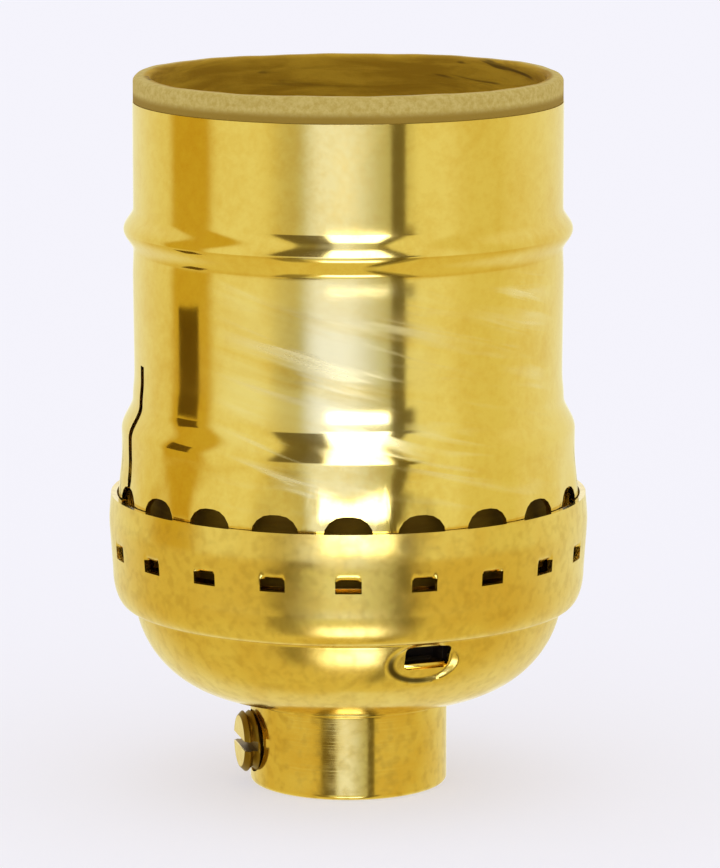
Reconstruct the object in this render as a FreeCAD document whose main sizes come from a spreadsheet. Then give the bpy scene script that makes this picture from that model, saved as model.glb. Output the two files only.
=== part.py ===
import FreeCAD, Part
import math
import os
from types import SimpleNamespace

import Sketcher
from FreeCAD import Placement, Rotation, Vector

# Keyless lamp socket for a medium screw-base lamp.
# The origin is the centre of the hub's end face, and +Z runs up the socket's axis to the lamp.
# The neutral terminal is on -X with the set screw near it, and the cap's locking tongues are on -Y and +Y.

# Driving sizes in millimetres, degrees or counts.
SIZES = {
    # clearances
    "seat_gap": 0.05,
    "running_gap": 0.05,
    "press_gap": 0.03,
    "slip_gap": 0.12,
    "band_gap": 0.2,
    "spring_gap": 0.3,
    # hub
    "hub_radius": 7.65,
    "hub_length": 6.6,
    "hub_bore_radius": 4.6,
    "hub_chamfer": 0.45,
    "hub_edge_radius": 0.35,
    "hub_flange_radius": 8.1,
    "hub_flange_thickness": 0.6,
    "hub_neck_wall": 1.4,
    "hub_clinch_radius": 7.2,
    "hub_clinch_height": 0.8,
    # set screw
    "set_screw_radius": 2.38,
    "set_screw_length": 3.9,
    "set_screw_turn": -9.0,
    "set_screw_height": 3.4,
    "set_screw_tip_gap": 0.2,
    "set_screw_chamfer": 0.35,
    "set_screw_slot_width": 0.75,
    "set_screw_slot_depth": 1.0,
    # cap
    "cap_wall": 0.45,
    "cap_flat_radius": 8.6,
    "cap_bowl_depth": 7.0,
    "cap_crease_fillet": 0.4,
    "cap_ledge_width": 1.6,
    "cap_shoulder_fillet": 1.05,
    "cap_band_height": 8.7,
    "cap_rim_flare": 0.3,
    # snap joint between cap and shell
    "snap_count": 20,
    "snap_turn": -4.0,
    "dent_width": 1.95,
    "dent_opening": 0.95,
    "dent_ramp": 0.95,
    "dent_depth": 0.62,
    "dent_below_rim": 4.0,
    "window_width": 3.7,
    "window_corner": 1.5,
    "window_over_rim": 1.2,
    "window_foot": 1.15,
    # locking windows and tongues of the cap
    "lock_width": 3.6,
    "lock_height": 1.85,
    "lock_below_ledge": 0.45,
    "lock_reach": 2.1,
    "lock_pad_margin_over": 0.05,
    "lock_pad_margin_under": 1.6,
    # outer shell
    "shell_wall": 0.45,
    "shell_radius": 16.5,
    "shell_insert": 5.5,
    "shell_length": 35.8,
    "shell_edge_radius": 0.2,
    "skirt_step": 1.0,
    "foot_roll": 0.5,
    "foot_roll_height": 2.0,
    "flare_over_rim": 5.0,
    "flare_height": 2.5,
    "bead_rise": 0.75,
    "bead_height": 3.3,
    "bead_below_top": 9.8,
    "slit_width": 1.0,
    "slit_over_rim": 10.5,
    # insulating sleeve
    "sleeve_wall": 0.8,
    "sleeve_stand": 2.05,
    "sleeve_collar_inset": 0.05,
    "sleeve_edge_radius": 0.3,
    # moulded block
    "flange_gap": 0.7,
    "flange_thickness": 2.1,
    "column_gap": 0.73,
    "column_height": 8.7,
    "column_foot": 2.7,
    "column_wall": 3.0,
    "wire_well_depth": 3.4,
    "pocket_width": 8.4,
    "pocket_ceiling": 2.0,
    # terminal plates and screws
    "plate_thickness": 0.8,
    "plate_width": 5.2,
    "plate_drop": 11.2,
    "plate_bend": 0.6,
    "neutral_ear": 3.6,
    "terminal_radius": 1.75,
    "terminal_length": 4.2,
    "terminal_below_top": 7.2,
    "terminal_head_radius": 3.1,
    "terminal_head_height": 1.5,
    "terminal_dome": 0.4,
    "terminal_slot_width": 0.8,
    "terminal_slot_depth": 0.8,
    "terminal_well_gap": 0.3,
    # insulating disc
    "disc_thickness": 0.8,
    "disc_inset": 0.5,
    "disc_hole_radius": 7.0,
    # screw shell
    "screw_wall": 0.4,
    "screw_shell_gap": 1.33,
    "screw_wave": 0.35,
    "screw_pitch": 3.63,
    "screw_turns": 5,
    "screw_floor_hole": 7.6,
    "screw_floor_fillet": 0.8,
    "screw_collar": 1.8,
    "screw_lip_step": 0.45,
    "screw_lip_rise": 0.9,
    "screw_lip_height": 2.2,
    # rivets of the screw shell
    "rivet_count": 3,
    "rivet_edge_gap": 0.45,
    "rivet_plate_gap": 0.3,
    "rivet_radius": 1.15,
    "rivet_head_radius": 1.6,
    "rivet_head_height": 0.75,
    "rivet_well_radius": 2.2,
    # centre contact and its rivet
    "leaf_thickness": 0.3,
    "leaf_width": 5.0,
    "leaf_tab": 2.0,
    "leaf_rise": 2.6,
    "leaf_run": 5.2,
    "leaf_tip": 1.3,
    "leaf_hole_gap": 0.15,
    "contact_rivet_place": 4.2,
    "contact_rivet_radius": 1.0,
    "contact_rivet_head_radius": 1.9,
    "contact_rivet_head_height": 0.7,
}

doc = FreeCAD.newDocument("KeylessLampSocket")
sheet = doc.addObject("Spreadsheet::Sheet", "Sizes")
for row, (alias, number) in enumerate(SIZES.items(), start=1):
    sheet.set(f"A{row}", alias)
    sheet.set(f"B{row}", str(number))
    sheet.setAlias(f"B{row}", alias)
doc.recompute()


class Size:
    """A length kept twice: as a formula on the sheet's cells and as its present number."""

    def __init__(self, text, value):
        self.text = text
        self.value = value

    def __add__(self, other):
        other = as_size(other)
        return Size(f"({self.text} + {other.text})", self.value + other.value)

    def __sub__(self, other):
        other = as_size(other)
        return Size(f"({self.text} - {other.text})", self.value - other.value)

    def __mul__(self, other):
        other = as_size(other)
        return Size(f"({self.text} * {other.text})", self.value * other.value)

    def __truediv__(self, other):
        other = as_size(other)
        return Size(f"({self.text} / {other.text})", self.value / other.value)

    def __neg__(self):
        return Size(f"(0 - {self.text})", -self.value)


def as_size(number):
    return number if isinstance(number, Size) else Size(repr(float(number)), float(number))


def root(size):
    return Size(f"sqrt({size.text})", math.sqrt(size.value))


def tie(thing, prop, size):
    thing.setExpression(prop, as_size(size).text)


s = SimpleNamespace(**{alias: Size(f"Sizes.{alias}", float(sheet.get(alias))) for alias in SIZES})
BEND = "bend"


# Sketches: every corner is bound to the sheet by its distances from the origin

def new_body(label):
    body = doc.addObject("PartDesign::Body", label)
    body.Label = label
    return body


def origin_part(body, role):
    return next(part for part in body.Origin.OriginFeatures if part.Role == role)


def new_sketch(body, name, plane, lift=None, turn=None):
    sketch = body.newObject("Sketcher::SketchObject", name)
    sketch.AttachmentSupport = [(origin_part(body, plane), "")]
    sketch.MapMode = "FlatFace"
    if turn is not None:
        sketch.AttachmentOffset = Placement(Vector(0, 0, 0), Rotation(Vector(0, 1, 0), turn.value))
        tie(sketch, "AttachmentOffset.Rotation.Angle", turn)
    if lift is not None:
        tie(sketch, "AttachmentOffset.Base.z", lift)
    return sketch


def pin_point(sketch, shape, end, x, y):
    """Bind one end of a sketch shape to the distances x and y from the sketch's origin."""
    for kind, axis, size in (("DistanceX", -2, as_size(x)), ("DistanceY", -1, as_size(y))):
        if size.text == "0.0":
            sketch.addConstraint(Sketcher.Constraint("PointOnObject", shape, end, axis))
            continue
        if size.value > 0:
            rule = Sketcher.Constraint(kind, -1, 1, shape, end, size.value)
        else:
            size = -size
            rule = Sketcher.Constraint(kind, shape, end, -1, 1, size.value)
        index = sketch.addConstraint(rule)
        sketch.renameConstraint(index, f"place{index}")
        tie(sketch, f"Constraints.place{index}", size)


def tangent_arc(start, end, heading):
    """The arc that leaves start along heading and reaches end, and its heading there."""
    chord = end - start
    left = Vector(-heading.y, heading.x, 0)
    reach = chord.Length ** 2 / (2 * chord.dot(left))
    center = start + left * reach
    angles = [math.atan2((p - center).y, (p - center).x) for p in (start, end)]
    first, last = angles if reach > 0 else angles[::-1]
    circle = Part.Circle(center, Vector(0, 0, 1), abs(reach))
    spoke = (end - center).normalize()
    side = 1 if reach > 0 else -1
    arc = Part.ArcOfCircle(circle, first, last if last > first else last + 2 * math.pi)
    return arc, Vector(-spoke.y, spoke.x, 0) * side, reach > 0


def outline(sketch, *corners):
    """Closed outline through the corners; a corner marked BEND is reached by a tangent arc."""
    points = [Vector(as_size(c[0]).value, as_size(c[1]).value, 0) for c in corners]
    pieces = []
    heading = None
    for index, start in enumerate(points):
        goal = (index + 1) % len(points)
        if BEND in corners[goal]:
            arc, heading, forward = tangent_arc(start, points[goal], heading)
            pieces.append((sketch.addGeometry(arc), 1 if forward else 2, True))
        else:
            heading = (points[goal] - start).normalize()
            line = Part.LineSegment(start, points[goal])
            pieces.append((sketch.addGeometry(line), 1, False))
    for index, (shape, first, bent) in enumerate(pieces):
        before, before_first, _ = pieces[index - 1]
        kind = "Tangent" if bent else "Coincident"
        sketch.addConstraint(Sketcher.Constraint(kind, before, 3 - before_first, shape, first))
        pin_point(sketch, shape, first, corners[index][0], corners[index][1])


def circle(sketch, x, y, radius):
    shape = sketch.addGeometry(Part.Circle(
        Vector(as_size(x).value, as_size(y).value, 0), Vector(0, 0, 1), radius.value))
    pin_point(sketch, shape, 3, x, y)
    index = sketch.addConstraint(Sketcher.Constraint("Radius", shape, radius.value))
    sketch.renameConstraint(index, f"radius{index}")
    tie(sketch, f"Constraints.radius{index}", radius)


def box(sketch, x0, x1, y0, y1):
    outline(sketch, (x0, y0), (x1, y0), (x1, y1), (x0, y1))


# Features

def revolve(body, name, sketch, axis="V_Axis"):
    feature = body.newObject("PartDesign::Revolution", name)
    feature.Profile = sketch
    feature.ReferenceAxis = (sketch, [axis])
    feature.Angle = 360
    return feature


def extrude(body, kind, name, sketch, length, side="One side", reverse=False):
    feature = body.newObject(f"PartDesign::{kind}", name)
    feature.Profile = sketch
    feature.SideType = side
    feature.Reversed = reverse
    tie(feature, "Length", length)
    return feature


def around(body, name, features, count):
    """Repeat features around the socket's axis and make the result the body's shape."""
    doc.recompute()
    pattern = body.newObject("PartDesign::PolarPattern", name)
    pattern.Originals = features
    pattern.Axis = (origin_part(body, "Z_Axis"), [""])
    pattern.Angle = 360
    tie(pattern, "Occurrences", count)
    body.Tip = pattern
    doc.recompute()
    return pattern


def round_rings(body, name, base, radius, *rings):
    """Fillet the circular edges of base that lie at the given radii and heights."""
    doc.recompute()
    names = [f"Edge{n}" for n, edge in enumerate(base.Shape.Edges, start=1)
             for ring in rings if is_ring(edge, *ring)]
    fillet = body.newObject("PartDesign::Fillet", name)
    fillet.Base = (base, names)
    tie(fillet, "Radius", radius)
    doc.recompute()
    return fillet


def is_ring(edge, radius, height):
    near = 1e-4
    if not isinstance(edge.Curve, Part.Circle):
        return False
    return (abs(edge.Curve.Radius - radius.value) < near
            and abs(edge.Curve.Center.z - height.value) < near)


def hollow(body, name, base, wall, *heights):
    """Leave a wall under the outer faces of base, open where a flat face lies at the given heights."""
    doc.recompute()
    names = [f"Face{n}" for n, face in enumerate(base.Shape.Faces, start=1)
             for height in heights
             if isinstance(face.Surface, Part.Plane) and abs(face.CenterOfMass.z - height.value) < 1e-4]
    shell = body.newObject("PartDesign::Thickness", name)
    shell.Base = (base, names)
    shell.Reversed = True
    shell.Join = "Intersection"
    tie(shell, "Value", wall)
    doc.recompute()
    return shell


# Heights along the axis, from the hub's end face upwards
floor_z = s.hub_length + s.hub_flange_thickness
ledge_z = floor_z + s.cap_bowl_depth
rim_z = ledge_z + s.cap_band_height
flange_z = ledge_z + s.cap_wall
flange_top_z = flange_z + s.flange_thickness
foot_z = rim_z - s.shell_insert
shell_top_z = foot_z + s.shell_length
sleeve_top_z = shell_top_z + s.sleeve_stand
column_foot_z = flange_z - s.column_foot
block_top_z = flange_top_z + s.column_height
ceiling_z = block_top_z - s.pocket_ceiling
terminal_z = block_top_z - s.terminal_below_top
disc_top_z = block_top_z + s.disc_thickness
screw_floor_z = disc_top_z + s.screw_wall

# Radii from the shell outwards, each piece one clearance from the last
skirt_radius = s.shell_radius + s.skirt_step
foot_radius = skirt_radius - s.foot_roll
band_radius = skirt_radius + s.band_gap + s.cap_wall
rim_radius = band_radius + s.cap_rim_flare
crease_radius = band_radius - s.cap_ledge_width
flange_radius = band_radius - s.cap_wall - s.flange_gap

# Radii from the shell inwards
sleeve_radius = s.shell_radius - s.shell_wall - s.slip_gap
sleeve_inner_radius = sleeve_radius - s.sleeve_wall
column_radius = sleeve_inner_radius - s.column_gap
wire_well_radius = column_radius - s.column_wall
disc_radius = column_radius - s.disc_inset
screw_mean_radius = sleeve_inner_radius - s.screw_shell_gap - s.screw_lip_step - s.screw_wall
rivet_circle = screw_mean_radius - s.rivet_edge_gap - s.rivet_head_radius
plate_face = rivet_circle - s.rivet_head_radius - s.rivet_plate_gap
pocket_back = plate_face - s.plate_thickness
neck_radius = s.hub_bore_radius + s.hub_neck_wall


def band_at(z):
    """Outer radius of the cap's flared band at a height."""
    return band_radius + s.cap_rim_flare * (z - ledge_z) / s.cap_band_height


# Hub: turned bushing, clinched over the cap's floor
def make_hub():
    body = new_body("hub")
    clinch_z = floor_z + s.cap_wall
    top_z = clinch_z + s.hub_clinch_height
    profile = new_sketch(body, "hub_profile", "XZ_Plane")
    outline(
        profile,
        (s.hub_bore_radius + s.hub_chamfer, 0),
        (s.hub_radius, 0),
        (s.hub_radius, s.hub_length),
        (s.hub_flange_radius, s.hub_length),
        (s.hub_flange_radius, floor_z),
        (neck_radius, floor_z),
        (neck_radius, clinch_z),
        (s.hub_clinch_radius, clinch_z),
        (s.hub_clinch_radius - s.hub_clinch_height, top_z),
        (s.hub_bore_radius, top_z),
        (s.hub_bore_radius, s.hub_chamfer),
    )
    turned = revolve(body, "hub_turned", profile)
    round_rings(body, "hub_end_edge", turned, s.hub_edge_radius, (s.hub_radius, as_size(0)))
    hole = new_sketch(body, "set_screw_hole", "YZ_Plane", turn=s.set_screw_turn)
    circle(hole, 0, s.set_screw_height, s.set_screw_radius + s.running_gap)
    extrude(body, "Pocket", "set_screw_bore", hole, s.hub_radius * 2)
    return body


# Set screw: slotted and headless, lying across the socket's axis and turned about it
def make_set_screw():
    body = new_body("set_screw")
    tip = s.hub_bore_radius + s.set_screw_tip_gap
    end = tip + s.set_screw_length
    middle_z = s.set_screw_height
    chamfer = s.set_screw_chamfer
    profile = new_sketch(body, "set_screw_profile", "XZ_Plane", turn=s.set_screw_turn)
    outline(
        profile,
        (-end, middle_z),
        (-tip, middle_z),
        (-tip, middle_z + s.set_screw_radius - chamfer),
        (-tip - chamfer, middle_z + s.set_screw_radius),
        (chamfer - end, middle_z + s.set_screw_radius),
        (-end, middle_z + s.set_screw_radius - chamfer),
    )
    revolve(body, "set_screw_turned", profile, "Edge1")
    slot = new_sketch(body, "set_screw_slot", "XZ_Plane", turn=s.set_screw_turn)
    half = s.set_screw_slot_width / 2
    box(slot, -end, s.set_screw_slot_depth - end, middle_z - half, middle_z + half)
    extrude(body, "Pocket", "set_screw_slot_cut", slot, s.set_screw_radius * 2.2, "Symmetric")
    return body


# Cap: one drawn sheet, with a flat floor, a bowl, a ledge for the block and a flared band
def make_cap():
    body = new_body("cap")
    profile = new_sketch(body, "cap_profile", "XZ_Plane")
    outline(
        profile,
        (0, floor_z),
        (s.cap_flat_radius, floor_z),
        (crease_radius, ledge_z, BEND),
        (band_radius, ledge_z),
        (rim_radius, rim_z),
        (0, rim_z),
    )
    drawn = revolve(body, "cap_drawn", profile)
    crease = round_rings(body, "cap_crease", drawn, s.cap_crease_fillet, (crease_radius, ledge_z))
    shoulder = round_rings(body, "cap_shoulder", crease, s.cap_shoulder_fillet, (band_radius, ledge_z))
    hollow(body, "cap_sheet", shoulder, s.cap_wall, rim_z)
    hole = new_sketch(body, "cap_hub_hole", "XY_Plane")
    circle(hole, 0, 0, neck_radius + s.press_gap)
    extrude(body, "Pocket", "cap_hub_hole_cut", hole, floor_z * 2, reverse=True)
    add_dents(body)
    add_lock_pads(body)
    add_locks(body)
    return body


def add_dents(body):
    """Lanced dents: each ramp runs inwards as it goes down and ends in a sheared opening."""
    opening_z = rim_z - s.dent_below_rim - s.dent_opening / 2
    edge_z = opening_z + s.dent_opening
    top_z = edge_z + s.dent_ramp
    outside = rim_radius + s.cap_wall
    inside = band_radius - s.cap_wall * 2
    slot = new_sketch(body, "dent_slot", "XZ_Plane", turn=s.snap_turn)
    box(slot, -outside, -inside, opening_z, top_z)
    lanced = extrude(body, "Pocket", "dent_slot_cut", slot, s.dent_width, "Symmetric")
    ramp = new_sketch(body, "dent_ramp", "XZ_Plane", turn=s.snap_turn)
    outline(
        ramp,
        (-band_at(top_z), top_z),
        (s.cap_wall - band_at(top_z), top_z),
        (s.cap_wall + s.dent_depth - band_at(edge_z), edge_z),
        (s.dent_depth - band_at(edge_z), edge_z),
    )
    pressed = extrude(body, "Pad", "dent_ramp_press", ramp, s.dent_width, "Symmetric")
    around(body, "dents", [lanced, pressed], s.snap_count)


def bowl_at(z, inset):
    """Radius of the cap's bowl at a height, on its outer face or at an inset into its wall."""
    width = crease_radius - s.cap_flat_radius
    outer_arc = (width * width + s.cap_bowl_depth * s.cap_bowl_depth) / (s.cap_bowl_depth * 2)
    arc = outer_arc - inset
    drop = floor_z + outer_arc - z
    return s.cap_flat_radius + root(arc * arc - drop * drop)


def add_lock_pads(body):
    """Oval flats coined on the bowl on both sides, where the locking windows are cut."""
    top_z = ledge_z - s.lock_below_ledge + s.lock_pad_margin_over
    foot = ledge_z - s.lock_below_ledge - s.lock_height - s.lock_pad_margin_under
    outside = crease_radius + s.cap_wall
    pads = new_sketch(body, "lock_pads", "YZ_Plane")
    for side in (1, -1):
        outline(
            pads,
            (bowl_at(top_z, 0) * side, top_z),
            (outside * side, top_z),
            (outside * side, foot),
            (bowl_at(foot, 0) * side, foot),
        )
    extrude(body, "Pocket", "lock_pads_coin", pads, s.lock_width * 3, "Symmetric")


def add_locks(body):
    """Windows below the ledge, each with a tongue bent in from its lower edge to hold the block."""
    top_z = ledge_z - s.lock_below_ledge
    foot = top_z - s.lock_height
    wall_inside = bowl_at(foot, s.cap_wall)
    window = new_sketch(body, "lock_window", "XZ_Plane")
    box(window, -s.lock_width / 2, s.lock_width / 2, foot, top_z)
    extrude(body, "Pocket", "lock_window_cut", window, crease_radius * 2.4, "Symmetric")
    tongue = new_sketch(body, "lock_tongue", "YZ_Plane")
    tip = wall_inside - s.lock_reach
    box(tongue, -wall_inside - s.cap_wall / 2, -tip, foot, foot + s.cap_wall)
    bent = extrude(body, "Pad", "lock_tongue_bend", tongue, s.lock_width, "Symmetric")
    around(body, "locks", [bent], as_size(2))


# Outer shell: one drawn sheet with a bead, a flare and a rolled foot
def make_outer_shell():
    body = new_body("outer_shell")
    flare_z = rim_z + s.flare_over_rim
    flare_top_z = flare_z + s.flare_height
    bead_z = shell_top_z - s.bead_below_top
    half = s.bead_height / 2
    quarter = s.bead_height / 4
    profile = new_sketch(body, "shell_profile", "XZ_Plane")
    window_foot_z = foot_z + s.window_foot
    outline(
        profile,
        (0, foot_z),
        (foot_radius, foot_z),
        (foot_radius, window_foot_z),
        (skirt_radius, window_foot_z + s.foot_roll_height),
        (skirt_radius, flare_z),
        (skirt_radius - s.skirt_step / 2, flare_z + s.flare_height / 2, BEND),
        (s.shell_radius, flare_top_z, BEND),
        (s.shell_radius, bead_z - half),
        (s.shell_radius + s.bead_rise / 2, bead_z - quarter, BEND),
        (s.shell_radius + s.bead_rise / 2, bead_z + quarter, BEND),
        (s.shell_radius, bead_z + half, BEND),
        (s.shell_radius, shell_top_z),
        (0, shell_top_z),
    )
    drawn = revolve(body, "shell_drawn", profile)
    sheet_metal = hollow(body, "shell_sheet", drawn, s.shell_wall, foot_z, shell_top_z)
    round_rings(body, "shell_top_edge", sheet_metal, s.shell_edge_radius, (s.shell_radius, shell_top_z))
    add_windows(body, window_foot_z)
    slit = new_sketch(body, "slit", "YZ_Plane")
    slit_top_z = rim_z + s.slit_over_rim
    box(slit, -s.slit_width / 2, s.slit_width / 2, foot_z - s.shell_wall, slit_top_z)
    extrude(body, "Pocket", "slit_cut", slit, skirt_radius * 1.2)
    body.Placement = Placement(Vector(0, 0, 0), Rotation(Vector(0, 0, 1), s.snap_turn.value))
    tie(body, "Placement.Rotation.Angle", s.snap_turn)
    return body


def add_windows(body, window_foot_z):
    """Arched windows around the skirt, where the cap's dents snap in."""
    top_z = rim_z + s.window_over_rim
    half = s.window_width / 2
    arch = new_sketch(body, "window_arch", "YZ_Plane")
    outline(
        arch,
        (-half, window_foot_z),
        (half, window_foot_z),
        (half, top_z - s.window_corner),
        (half - s.window_corner, top_z, BEND),
        (s.window_corner - half, top_z),
        (-half, top_z - s.window_corner, BEND),
    )
    cut = extrude(body, "Pocket", "window_cut", arch, skirt_radius * 1.2)
    around(body, "windows", [cut], s.snap_count)


# Insulating sleeve: fibre tube with a collar that sits on the shell's top edge
def make_sleeve():
    body = new_body("insulating_sleeve")
    inner = sleeve_inner_radius
    collar = s.shell_radius - s.sleeve_collar_inset
    profile = new_sketch(body, "sleeve_profile", "XZ_Plane")
    outline(
        profile,
        (inner, flange_top_z + s.seat_gap),
        (sleeve_radius, flange_top_z + s.seat_gap),
        (sleeve_radius, shell_top_z),
        (collar, shell_top_z),
        (collar, sleeve_top_z),
        (inner, sleeve_top_z),
    )
    rolled = revolve(body, "sleeve_rolled", profile)
    round_rings(body, "sleeve_edges", rolled, s.sleeve_edge_radius,
                (collar, sleeve_top_z), (inner, sleeve_top_z))
    return body


# Moulded block: column and flange with a wire well below and a terminal pocket on each side
def make_block():
    body = new_body("insulator_body")
    well_z = column_foot_z + s.wire_well_depth
    profile = new_sketch(body, "block_profile", "XZ_Plane")
    outline(
        profile,
        (0, well_z),
        (wire_well_radius, well_z),
        (wire_well_radius, column_foot_z),
        (column_radius, column_foot_z),
        (column_radius, flange_z),
        (flange_radius, flange_z),
        (flange_radius, flange_top_z),
        (column_radius, flange_top_z),
        (column_radius, block_top_z),
        (0, block_top_z),
    )
    revolve(body, "block_moulded", profile)
    add_pockets(body)
    add_plate_grooves(body)
    add_rivet_holes(body)
    add_lock_notches(body)
    return body


def add_pockets(body):
    """Terminal pockets on +X and -X, open to the side and below, with a well for each screw's end."""
    pockets = new_sketch(body, "pockets", "XY_Plane", lift=ceiling_z)
    half = s.pocket_width / 2
    outside = flange_radius * 1.1
    box(pockets, pocket_back, outside, -half, half)
    box(pockets, -outside, -pocket_back, -half, half)
    extrude(body, "Pocket", "pockets_cut", pockets, ceiling_z)
    well = new_sketch(body, "terminal_well", "YZ_Plane", lift=pocket_back)
    circle(well, 0, terminal_z, s.terminal_radius + s.terminal_well_gap)
    depth = s.terminal_length - s.plate_thickness + s.terminal_well_gap
    cut = extrude(body, "Pocket", "terminal_well_cut", well, depth)
    around(body, "terminal_wells", [cut], as_size(2))


def add_plate_grooves(body):
    """Groove in the top for the hot plate, its way down into the pocket, and room for its rivet."""
    half = s.plate_width / 2 + s.slip_gap
    groove = new_sketch(body, "hot_groove", "XY_Plane", lift=block_top_z)
    start = s.contact_rivet_place - s.leaf_tab - s.slip_gap
    box(groove, start, plate_face + s.slip_gap, -half, half)
    extrude(body, "Pocket", "hot_groove_cut", groove, s.plate_thickness)
    way = new_sketch(body, "hot_way", "XY_Plane", lift=block_top_z)
    box(way, pocket_back, plate_face + s.slip_gap, -half, half)
    extrude(body, "Pocket", "hot_way_cut", way, s.pocket_ceiling)
    relief = new_sketch(body, "rivet_relief", "XY_Plane", lift=block_top_z)
    circle(relief, s.contact_rivet_place, 0, s.contact_rivet_head_radius + s.slip_gap)
    depth = s.plate_thickness + s.contact_rivet_head_height + s.slip_gap
    extrude(body, "Pocket", "rivet_relief_cut", relief, depth)


def add_rivet_holes(body):
    """Three rivet holes; the two that miss the pockets have wells for the clinched ends."""
    hole = new_sketch(body, "rivet_hole", "XY_Plane", lift=block_top_z)
    circle(hole, -rivet_circle, 0, s.rivet_radius + s.press_gap)
    cut = extrude(body, "Pocket", "rivet_hole_cut", hole, s.pocket_ceiling + s.plate_thickness)
    around(body, "rivet_holes", [cut], s.rivet_count)
    wells = new_sketch(body, "rivet_wells", "XY_Plane", lift=column_foot_z)
    side = root(as_size(3)) / 2
    for sign in (1, -1):
        circle(wells, rivet_circle / 2, rivet_circle * side * sign, s.rivet_well_radius)
    depth = ceiling_z - s.plate_thickness - column_foot_z
    extrude(body, "Pocket", "rivet_wells_cut", wells, depth, reverse=True)


def add_lock_notches(body):
    """Notches in the column's foot that the cap's tongues enter."""
    notches = new_sketch(body, "lock_notches", "XY_Plane", lift=column_foot_z)
    half = s.lock_width / 2 + s.slip_gap
    outside = column_radius * 1.1
    inside = column_radius - s.lock_reach
    box(notches, -half, half, inside, outside)
    box(notches, -half, half, -outside, -inside)
    extrude(body, "Pocket", "lock_notches_cut", notches, s.column_foot, reverse=True)


# Insulating disc between the block and the screw shell
def make_disc():
    body = new_body("fibre_disc")
    ring = new_sketch(body, "disc_ring", "XY_Plane", lift=block_top_z)
    circle(ring, 0, 0, disc_radius)
    circle(ring, 0, 0, s.disc_hole_radius)
    extrude(body, "Pad", "disc_sheet", ring, s.disc_thickness)
    hole = new_sketch(body, "disc_rivet_hole", "XY_Plane", lift=disc_top_z)
    circle(hole, -rivet_circle, 0, s.rivet_radius + s.press_gap)
    cut = extrude(body, "Pocket", "disc_rivet_hole_cut", hole, s.disc_thickness * 2)
    around(body, "disc_rivet_holes", [cut], s.rivet_count)
    return body


# Screw shell: drawn cup with a rolled thread and a plain lip for the lamp to enter
thread_z = screw_floor_z + s.screw_collar
thread_top_z = thread_z + s.screw_pitch * s.screw_turns
lip_z = thread_top_z + s.screw_lip_rise
screw_top_z = lip_z + s.screw_lip_height


def make_screw_shell():
    body = new_body("screw_shell")
    inner = screw_mean_radius
    outer = screw_mean_radius + s.screw_wall
    cup = new_sketch(body, "cup_profile", "XZ_Plane")
    outline(
        cup,
        (s.screw_floor_hole, disc_top_z),
        (outer, disc_top_z),
        (outer, thread_z),
        (inner, thread_z),
        (inner, screw_floor_z),
        (s.screw_floor_hole, screw_floor_z),
    )
    drawn = revolve(body, "cup_drawn", cup)
    round_rings(body, "cup_corner", drawn, s.screw_floor_fillet, (outer, disc_top_z))
    ring = new_sketch(body, "thread_ring", "XY_Plane", lift=thread_z)
    circle(ring, 0, 0, outer)
    circle(ring, 0, 0, inner)
    thread = body.newObject("PartDesign::AdditivePipe", "rolled_thread")
    thread.Profile = ring
    path = make_thread_path()
    thread.Spine = (path, [f"Edge{n + 1}" for n in range(len(path.Shape.Edges))])
    thread.Mode = "Fixed"
    step = s.screw_lip_step
    lip = new_sketch(body, "lip_profile", "XZ_Plane")
    outline(
        lip,
        (inner, thread_top_z),
        (outer, thread_top_z),
        (outer + step, lip_z),
        (outer + step, screw_top_z),
        (inner + step, screw_top_z),
        (inner + step, lip_z),
    )
    revolve(body, "lip_drawn", lip)
    hole = new_sketch(body, "screw_rivet_hole", "XY_Plane", lift=screw_floor_z)
    circle(hole, -rivet_circle, 0, s.rivet_radius + s.press_gap)
    cut = extrude(body, "Pocket", "screw_rivet_hole_cut", hole, s.screw_wall * 2)
    around(body, "screw_rivet_holes", [cut], s.rivet_count)
    return body


def make_thread_path():
    """Path of the rolled ring's centre: a narrow right-hand helix that runs out to the axis at its ends."""
    path = doc.addObject("Part::Feature", "thread_path")
    height = thread_top_z.value - thread_z.value
    turns = s.screw_turns.value
    steps = int(12 * turns)
    points = []
    for step in range(steps + 1):
        share = step / steps
        ends = min(share, 1 - share) * turns / 0.6
        ramp = min(1.0, ends)
        swing = s.screw_wave.value * ramp * ramp * (3 - 2 * ramp)
        angle = 2 * math.pi * share * turns
        points.append(Vector(swing * math.cos(angle), swing * math.sin(angle), thread_z.value + share * height))
    path.Shape = Part.makePolygon(points)
    return path


# Rivets through the screw shell, the disc and the block
def make_shell_rivets():
    body = new_body("shell_rivets")
    foot = ceiling_z - s.plate_thickness
    foot_end = foot - s.rivet_head_height
    top = screw_floor_z + s.rivet_head_height
    profile = new_sketch(body, "rivet_profile", "XZ_Plane")
    rivet_outline(profile, -rivet_circle, s.rivet_radius, s.rivet_head_radius, foot_end, foot, screw_floor_z, top)
    first = revolve(body, "rivet_turned", profile, "Edge1")
    around(body, "rivets", [first], s.rivet_count)
    return body


def rivet_outline(profile, axis, shank, head, foot_end, foot, seat, top):
    """Half section of a rivet about a vertical edge: clinched end, shank and chamfered head."""
    bevel = (top - seat) / 2
    outline(
        profile,
        (axis, foot_end),
        (axis, top),
        (axis + head - bevel, top),
        (axis + head, top - bevel),
        (axis + head, seat),
        (axis + shank, seat),
        (axis + shank, foot),
        (axis + head, foot),
        (axis + head - bevel, foot_end),
    )


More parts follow.
